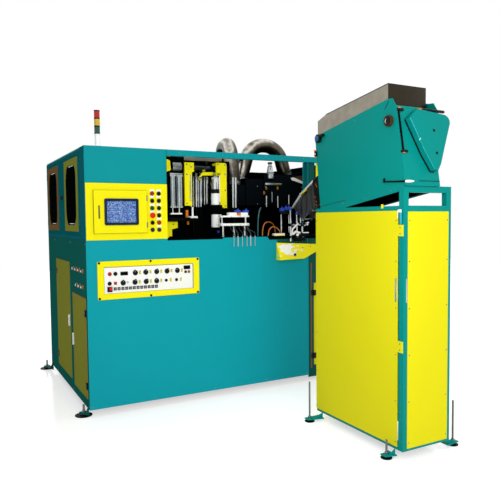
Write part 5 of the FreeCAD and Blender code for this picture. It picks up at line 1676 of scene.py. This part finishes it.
@dataclass
class Infeed(Assembly):
    """Posts, clamps and tray that end the chute at the bed's edge.

    Attributes:
        posts: Across and top of each post.
        line: Along of the posts' axes.
    """

    posts: tuple[Span, ...] = ((1808, 1640), (1875, 1600), (1932, 1500))
    line: float = -14.0

    def build(self) -> None:
        """Replaces the posts by turned ones and dresses the tray."""
        self.dress(YELLOW_TRAY, "reject_tray")
        rods = Piece("infeed_rods", CHROMED, Body.MACHINE, "infeed_posts")
        for x, top in self.posts:
            rods.rod((x, self.line, 1335), (x, self.line, top), 7.9, 24, 0.8)
        rods.rod((1822, self.line, 1483), (1996, self.line, 1483), 6.8, 24, 0.8)
        rods.rod((1915, self.line, 1497), (1915, self.line, 1770), 7, 24, 0.8)
        rods.rod((1932, -22, 1411), (1996, -22, 1411), 6, 20, 0.8)
        for x in (1764, 1846):
            rods.rod((x, 72, BED_TOP), (x, 72, 1584), 7, 20, 0.8)
        arms = Piece("gripper_arms", WHITE_PLASTIC)
        arms.pipe([(1808, -34, 1392), (1816, -34, 1446), (1878, -34, 1494)], 18, 8, 20)
        arms.pipe([(1818, -36, 1398), (1850, -36, 1424), (1894, -36, 1410)], 14, 10, 20)
        arms.rod((1950, -22, 1476), (1996, -22, 1506), 8, 20, 1.2)
        for x, z in ((1922, 1532), (1962, 1490), (1868, 1394)):
            arms.turned((x, -36, z - 13), UP, [(0, 0), (9, 2), (13, 9), (13, 18), (9, 25), (0, 27)], 22)
        valves = Piece("infeed_valves", BLUE_PLASTIC)
        for low, high, z in ((1752, 1790, 1606), (1800, 1858, 1616)):
            valves.block((low, high), (54, 88), (z, z + 26), 4)
        for x, z in ((1771, 1630), (1815, 1640), (1843, 1640)):
            valves.turned((x, 70, z), UP, [(7, 0), (7, 10), (5, 12), (5, 18)], 18)
        island = Piece("infeed_valve_island", BLACK_PLASTIC)
        island.block((1744, 1866), (50, 92), (1582, 1608), 3)
        island.block((1800, 1858), (54, 88), (1606, 1618), 1)
        clamps = Piece("infeed_clamps", DARK_STEEL)
        clamps.block((1790, 1960), (-6, 3), (1362, 1384), 1.5)
        for x, _ in self.posts:
            clamps.block((x - 12, x + 12), (-26, 3), (1362, 1384), 2)
            clamps.block((x - 14, x + 14), (-28, 0), (1469, 1497), 3)
        clamps.block((1914, 1950), (-64, -26), (1484, 1496), 1.5)
        clamps.block((1844, 1964), (-27, 2), (1336, 1410), 3)
        screws = Piece("clamp_screws", ZINC)
        screws.screws([(x, -28, 1483) for x, _ in self.posts], FRONT, 5, 5)
        screws.screws([(x, -26, 1373) for x, _ in self.posts], FRONT, 5, 5)
        caps = Piece("post_caps", BLUE_PLASTIC)
        for x, top in self.posts:
            caps.ring((x, self.line, top - 26), UP, [(8.2, 0), (12, 0), (12, 20), (10, 24), (8.2, 24)], 20)
        self.build_tray()

    def build_tray(self) -> None:
        """Adds the tray's bolts, lock knob and the white sensor with its yellow edge."""
        Piece("tray_bolts", BLACK_PLASTIC).screws([(1906, -60, 1280), (1990, -60, 1286)], FRONT, 5, 1.6)
        Piece("tray_lock_knob", NAVY_PLASTIC).turned(
            (1825, -60, 1217), FRONT, [(13, 0), (13, 3), (11, 4.4), (0, 4.6)], 28)
        Piece("tray_sensor", WHITE_PLASTIC).block((1650, 1760), (4, 44), (BED_TOP, 1408), 2.5)
        Piece("tray_sensor_edge", YELLOW).block((1650, 1760), (2.6, 6), (1387, 1394), 1)


# --- feeder ---


@dataclass
class FeederStand(Assembly):
    """The stand in front of the machine's right end.

    Attributes:
        left: The side panel's outer face.
        front: The front panel's outer face.
    """

    left: float = 1496.5
    front: float = -1767.0

    def build(self) -> None:
        """Dresses the stand and adds its screws, strips and tabs."""
        self.dress(TEAL_FEEDER, "stand_frame")
        self.dress(YELLOW_STAND, "stand_panels", "stand_side_panel")
        screws = Piece("stand_screws", ZINC)
        heights = (1520, 1270, 980, 690, 400, 140)
        screws.screws([(x, self.front, z) for x in (1550, 1868) for z in heights], FRONT, 4.4, 2.2)
        screws.screws([(self.left, y, z) for y in (-1706, -866) for z in heights], LEFT, 4.4, 2.2)
        screws.screws([(self.left, -1741, z) for z in (724, 762, 1440, 1478)], LEFT, 4.4, 2.2)
        screws.screws([(1906, y, z) for y in (-1736, -880) for z in heights], RIGHT, 4.4, 2.2)
        screws.screws([(x, -849, z) for x in (1534, 1872) for z in heights], (0, 1, 0), 4.4, 2.2)
        strips = Piece("stand_strips", BRIGHT)
        strips.block((self.left - 1.6, self.left + 0.4), (-1716, -1700), (1018, 1166), 0.8)
        strips.block((1524, 1534), (self.front + 1.2, self.front + 3.4), (1018, 1166), 0.8)
        # A small white painted highlight at the side panel's top corner and a pale painted highlight along
        # its rail edge.
        corner_highlight = Piece("stand_corner_painted_highlight", WHITE_PLASTIC)
        corner_highlight.block((1494.8, 1496.4), (-1753, -1722), (1569, 1587), 0.5)
        corner_highlight.block((1494.8, 1496.4), (-1723, -1718), (1531, 1584), 0.5)
        Piece("stand_rail_edge_painted_highlight", PAINTED_EDGE_HIGHLIGHT).block((1494.8, 1496.2), (-1754, -1738), (1499, 1569), 0.5)
        Piece("stand_tab", YELLOW).block((1494.6, 1503.4), (-1583, -1571), (1596, 1622), 0.8)


@dataclass
class FeederCasing(Assembly):
    """The inclined casing, its hopper, bars and drive guard.

    Attributes:
        left: The casing's left face.
        lean: Lean of the casing's front, in degrees.
    """

    left: float = 1503.0
    lean: float = 9.87

    def build(self) -> None:
        """Dresses the casing and adds its bars, ring, sensor and seams."""
        self.dress(TEAL_FEEDER, "feeder_casing", "drive_guard")
        self.dress(STAINLESS, "hopper")
        self.build_bars()
        self.build_bearing()
        self.build_connector()
        self.build_seams()
        self.build_dark_sides()
        self.build_guard()

    def build_bars(self) -> None:
        """Turns the slim bars and their clips."""
        slope = math.tan(math.radians(self.lean))
        x = self.left + 9
        bar = Piece("upright_bar", DARK_STEEL, Body.MACHINE, "casing_bars")
        low, high = 1934, 2192
        bar.rod((x, -1751, low), (x, -1751 + (high - low) * slope, high), 5.9, 24, 0.8)
        clips = Piece("bar_clips", BLACK_PLASTIC)
        clips.block((1501, 1541), (-1760, -1736), (1930, 1946), 2)
        clips.block((1505, 1547), (-1716, -1690), (2186, 2202), 2)
        clips.block((1492, 1503.4), (-1600, -1590), (1757, 1784), 1)
        clips.block((1497, 1503.4), (-1770, -1740), (1752, 1762), 1)
        clips.block((1703, 1723), (-1708, -1688), (2193, 2206), 1.5)
        orange = Piece("bar_tips", ORANGE_PLASTIC)
        orange.block((1503, 1519), (-1761, -1752), (1926, 1931), 1)
        orange.block((1507, 1523), (-1717, -1708), (2201, 2208), 1)
        level = Piece("level_bar", DARK_STEEL)
        drop = math.tan(math.radians(2.7))
        level.rod((1497, -1600, 1763), (1497, -1790, 1763 - 190 * drop), 5, 24, 0.8)
        cone = Piece("level_bar_tip", WHITE_PLASTIC)
        cone.rod((1497, -1790, 1754), (1497, -1826, 1752.3), 9, 24, 0.5, tip=8.6)
        cone.rod((1497, -1826, 1752.3), (1497, -1853, 1751), 8.6, 24, 0.5, tip=3.5)
        Piece("guard_top_bar", BLACK_PLASTIC).rod((1689, -1712, 2206), (1883, -1712, 2206), 9.5, 24, 0.8)
        ends = Piece("guard_bar_ends", ORANGE_PLASTIC)
        ends.block((1668, 1690), (-1722, -1702), (2198, 2214), 2)
        ends.rod((1883, -1712, 2206), (1892, -1712, 2206), 6.5, 20, 0.8)

    def build_connector(self) -> None:
        """Adds the small cable connector on the casing's rear edge."""
        Piece("casing_connector", BLACK_PLASTIC).block((1491, 1504), (-868, -842), (1994, 2032), 3)
        nut = Piece("connector_nut", ORANGE_PLASTIC)
        nut.rod((1486, -850, 2036), (1500, -850, 2036), 7, 6, 1)
        nut.rod((1488, -856, 1990), (1500, -856, 1990), 6, 6, 1)
        Piece("connector_eye", WHITE_PLASTIC).turned((1492, -856, 2012), LEFT, [(5, 0), (5, 3)], 20)

    def build_bearing(self) -> None:
        """Turns the brown bearing ring with a painted highlight crescent inside it, its black hub and the
        sensor on the left face.
        """
        Piece("bearing_ring", BROWN).ring(
            (self.left, -1640, 2133), LEFT, [(27, 0), (34.8, 0), (34.8, 20), (33, 22.6), (29, 22.6),
            (27, 20.6)], 44)
        # The bright disc set off-centre behind the hub shows as a crescent: a painted highlight.
        Piece("bearing_painted_glint", CHROMED).turned(
            (self.left, -1634, 2133), LEFT, [(17, 0), (17, 21), (15, 22)], 44)
        hub = Piece("bearing_hub", BLACK_PLASTIC)
        hub.turned((self.left, -1640, 2133), LEFT, [(27.4, 0), (27.4, 20.8)], 30)
        hub.turned((self.left, -1645, 2133), LEFT, [(19.5, 0), (19.5, 22.4)], 30)
        hub.block((self.left - 22, self.left), (-960, -900), (2128, 2146), 3)
        hub.turned((self.left, -893, 2120), LEFT, [(31, 0), (31, 20), (26, 24), (16, 25)], 30)
        Piece("casing_sensor", BLUE_PLASTIC).turned(
            (self.left - 24, -893, 2120), LEFT, [(14, 0), (14, 4), (11, 5.6), (0, 5.8)], 26)
        Piece("bearing_bolts", ZINC).screws(
            [(self.left, y, z) for y, z in ((-1300, 2190), (-900, 1640), (-1170, 1640), (-1400, 1665),
            (-1650, 1705))], LEFT, 4.2, 2.2)

    def build_seams(self) -> None:
        """Adds the welded seams and folded flanges of the casing's left face."""
        seam = Piece("casing_seams", TEAL_STILE)
        seam.slab(
            [(1503.2, -1632, 2254), (1503.2, -1628, 2258), (1503.2, -1590, 2214), (1503.2, -1594, 2210)],
            (-1.2, 0, 0))
        seam.slab(
            [(1503.2, -900, 1622), (1503.2, -900, 1626), (1503.2, -1200, 1664), (1503.2, -1200, 1660)],
            (-1.2, 0, 0))
        seam.block((1612, 1788), (-1780.9, -1779.8), (1759, 1763))
        seam.slab(
            [(1502.4, -1669, 1989), (1502.4, -1666, 1992), (1502.4, -1701, 1958), (1502.4, -1704, 1955)],
            (0.7, 0, 0))
        rim = Piece("hopper_rim", DARK_STEEL)
        for x in (1506, 1821):
            rim.slab(
                [(x, -1619.6, 2365), (x, -1619.6, 2370), (x, -971, 2286), (x, -971, 2281)], (4, 0, 0), 0.6)
        rim.block((1506, 1825), (-1620, -1615), (2364, 2370), 0.8)

    def build_dark_sides(self) -> None:
        """Adds the hopper's front sheet darkened as painted shade and black sheets of painted shade under and
        inside the casing.
        """
        # The hopper's darker front sheet and the black sheets below are painted shade.
        Piece("hopper_front", STAINLESS_DARK).block((1507.4, 1824.6), (-1620.2, -1619.1), (2110, 2366), 0.3)
        belly_shade = Piece("casing_belly_painted_shade", BLACK)
        belly_shade.slab(
            [(1504, -1718, 1695), (1504, -1190, 1609.2), (1566, -1190, 1609.2), (1566, -1718, 1695)],
            (0, 0, -0.8))
        belly_shade.slab([(1785.2, -1714, 1704), (1785.2, -1192, 1618), (1785.2, -910, 1618), (1785.2, -880, 1800),
                    (1785.2, -1690, 1800)], (0.6, 0, 0))
        belly_shade.slab(
            [(1508, -1715, 1704), (1784, -1715, 1704), (1784, -1700, 1800), (1508, -1700, 1800)],
            (0, 0.6, 0))
        belly_shade.slab(
            [(1508, -906, 1618), (1784, -906, 1618), (1784, -884, 1790), (1508, -884, 1790)], (0, -0.6, 0))
        belly_shade.slab(
            [(1508, -1712, 1798), (1784, -1712, 1798), (1784, -886, 1798), (1508, -886, 1798)], (0, 0, 0.6))

    def build_guard(self) -> None:
        """Adds the guard's painted shadow gap along its edges, its bolts, a painted highlight along its bent
        front edge and its latch.
        """
        # The black rods along the guard's outline are a painted shadow gap against the casing.
        outline = [
            (128, 470), (55, 412), (150, 198), (211, 93), (239, 90), (270, 134), (311, 225), (391, 397),
            (391, 418), (380, 437), (358, 449)]
        edge = Piece("guard_painted_shadow_gap", BLACK_PLASTIC)
        base = (self.left, -1780.4, 1730)
        tilt = math.radians(self.lean)

        def on_guard(across: float, along: float, deep: float) -> Point:
            """Carries a place across, along and out of the guard's leaning face to the drawing."""
            return (
                base[0] + across,
                base[1] + along * math.sin(tilt) - deep * math.cos(tilt),
                base[2] + along * math.cos(tilt) + deep * math.sin(tilt),
            )

        for k, (start, end) in enumerate(zip(outline, outline[1:] + outline[:1])):
            edge.rod(on_guard(*start, 3), on_guard(*end, 3), 6 if 1 <= k <= 4 else 1.8, 8)
        bolts = Piece("guard_bolts", BLACK_PLASTIC)
        ahead = (0.0, -math.cos(tilt), math.sin(tilt))
        bolts.screws([on_guard(*place, 46) for place in ((243, 342), (243, 198))], ahead, 9, 4)
        # Pale painted highlight along the guard's bent front edge.
        crease = Piece("guard_crease_painted_highlight", PAINTED_EDGE_HIGHLIGHT)
        crease.rod(on_guard(57, 408, 45.4), on_guard(112, 284, 45.4), 2.2, 8)
        crease.rod(on_guard(112, 284, 45.4), on_guard(150, 198, 45.4), 1.2, 8)
        crease.rod(on_guard(150, 198, 45.4), on_guard(211, 93, 45.4), 1.2, 8)
        Piece("guard_latch", WHITE_PLASTIC).rod(
            on_guard(108, 272, 46.2), on_guard(122, 285, 46.2), 2.2, 12, 0.6)


@dataclass
class Chute(Assembly):
    """The inclined preform chute.

    Attributes:
        turn: Its heading in degrees.
        fall: How far it drops for each millimetre along.
    """

    turn: float = -14.0
    fall: float = 0.307

    def build(self) -> None:
        """Dresses the chute's side plates and adds its mesh sheets, edges and bolts."""
        self.dress(ZINC, "preform_chute")
        mesh = Piece("chute_mesh", MESH)
        for across in (4.4, 90.2):
            self.sheet(mesh, across, 1.4, ((6, 222), (806, 222), (806, 20), (6, 20)))
        for across in (0.6, 92.4):
            self.sheet(mesh, across, 3, ((809, 216), (812, 4), (1030, 38)))
        edges = Piece("chute_edges", WHITE_PLASTIC)
        for across in (-10.2, 104.2):
            self.sheet(edges, across, 2, ((490, 11), (812, 11), (812, -9), (490, -9)))
            self.sheet(
                edges, across, 14 if across < 0 else -14, ((812, 14), (1030, 50), (1036, 34), (812, -7)))
        marker = Piece("chute_marker", YELLOW)
        self.sheet(marker, -12.4, 2, ((627, 26), (790, 14), (790, 4), (627, 12)))
        seal = Piece("chute_head_seal", BLACK_PLASTIC)
        self.sheet(seal, -5, 4.8, ((350, -8), (505, -8), (425, 236), (340, 236)))
        ties = Piece("chute_head_ties", ORANGE_PLASTIC)
        outward = self.on_plate(-1, 0, 0, (0, 0, 0))
        for along, below in ((425, 50), (405, 74), (436, 150), (416, 196), (408, 226)):
            ties.turned(self.on_plate(-5, along, below), outward, [(7, 0), (7, 3), (0, 4)], 12)
        places = [(along, below) for along in range(36, 781, 124) for below in (14, 226)]
        bolts = Piece("chute_bolts", CHROMED)
        bolts.screws([self.on_plate(-0.1, *place) for place in places], outward, 6, 3)

    def on_plate(self, across: float, along: float, below: float, start: Point = (1700, -838, 2001)) -> Point:
        """Carries a place on the chute to the drawing.

        Args:
            across: Millimetres from the left side plate's outer face.
            along: Millimetres down the chute, measured level.
            below: Millimetres under its top edge.
            start: The chute's upper left end.

        Returns:
            The place in drawing millimetres.
        """
        turn = math.radians(self.turn)
        return (
            start[0] + across * math.cos(turn) - along * math.sin(turn),
            start[1] + across * math.sin(turn) + along * math.cos(turn),
            start[2] - self.fall * along - below,
        )

    def sheet(
        self, piece: Piece, across: float, thick: float, outline: Sequence[tuple[float, float]]) -> None:
        """Adds an upright sheet that runs along the chute.

        Args:
            piece: The piece that gets it.
            across: Where its outer face is.
            thick: Its thickness.
            outline: Along and below of each corner.
        """
        turn = math.radians(self.turn)
        corners = [self.on_plate(across, along, below) for along, below in outline]
        piece.slab(corners, (thick * math.cos(turn), thick * math.sin(turn), 0.0), 0.4)


def main() -> None:
    """Builds every sub-assembly in order."""
    logging.basicConfig(level=logging.INFO, format="%(name)s: %(message)s")
    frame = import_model()
    bpy.context.scene.view_settings.view_transform = "Standard"
    studio = Studio()
    studio.camera()
    AirHoses().build()
    kinds = (Cabinet, HeaterPanel, ControlTower, SideDoors, BlowStation, Outfeed, Oven, Infeed, FeederStand,
             FeederCasing, Chute)
    for kind in kinds:
        kind(frame["nodes"]).build()
        Piece.finish_all()
        LOG.info("built %s", kind.__name__)
    studio.light()
    studio.floor()


if __name__ == "__main__":
    main()
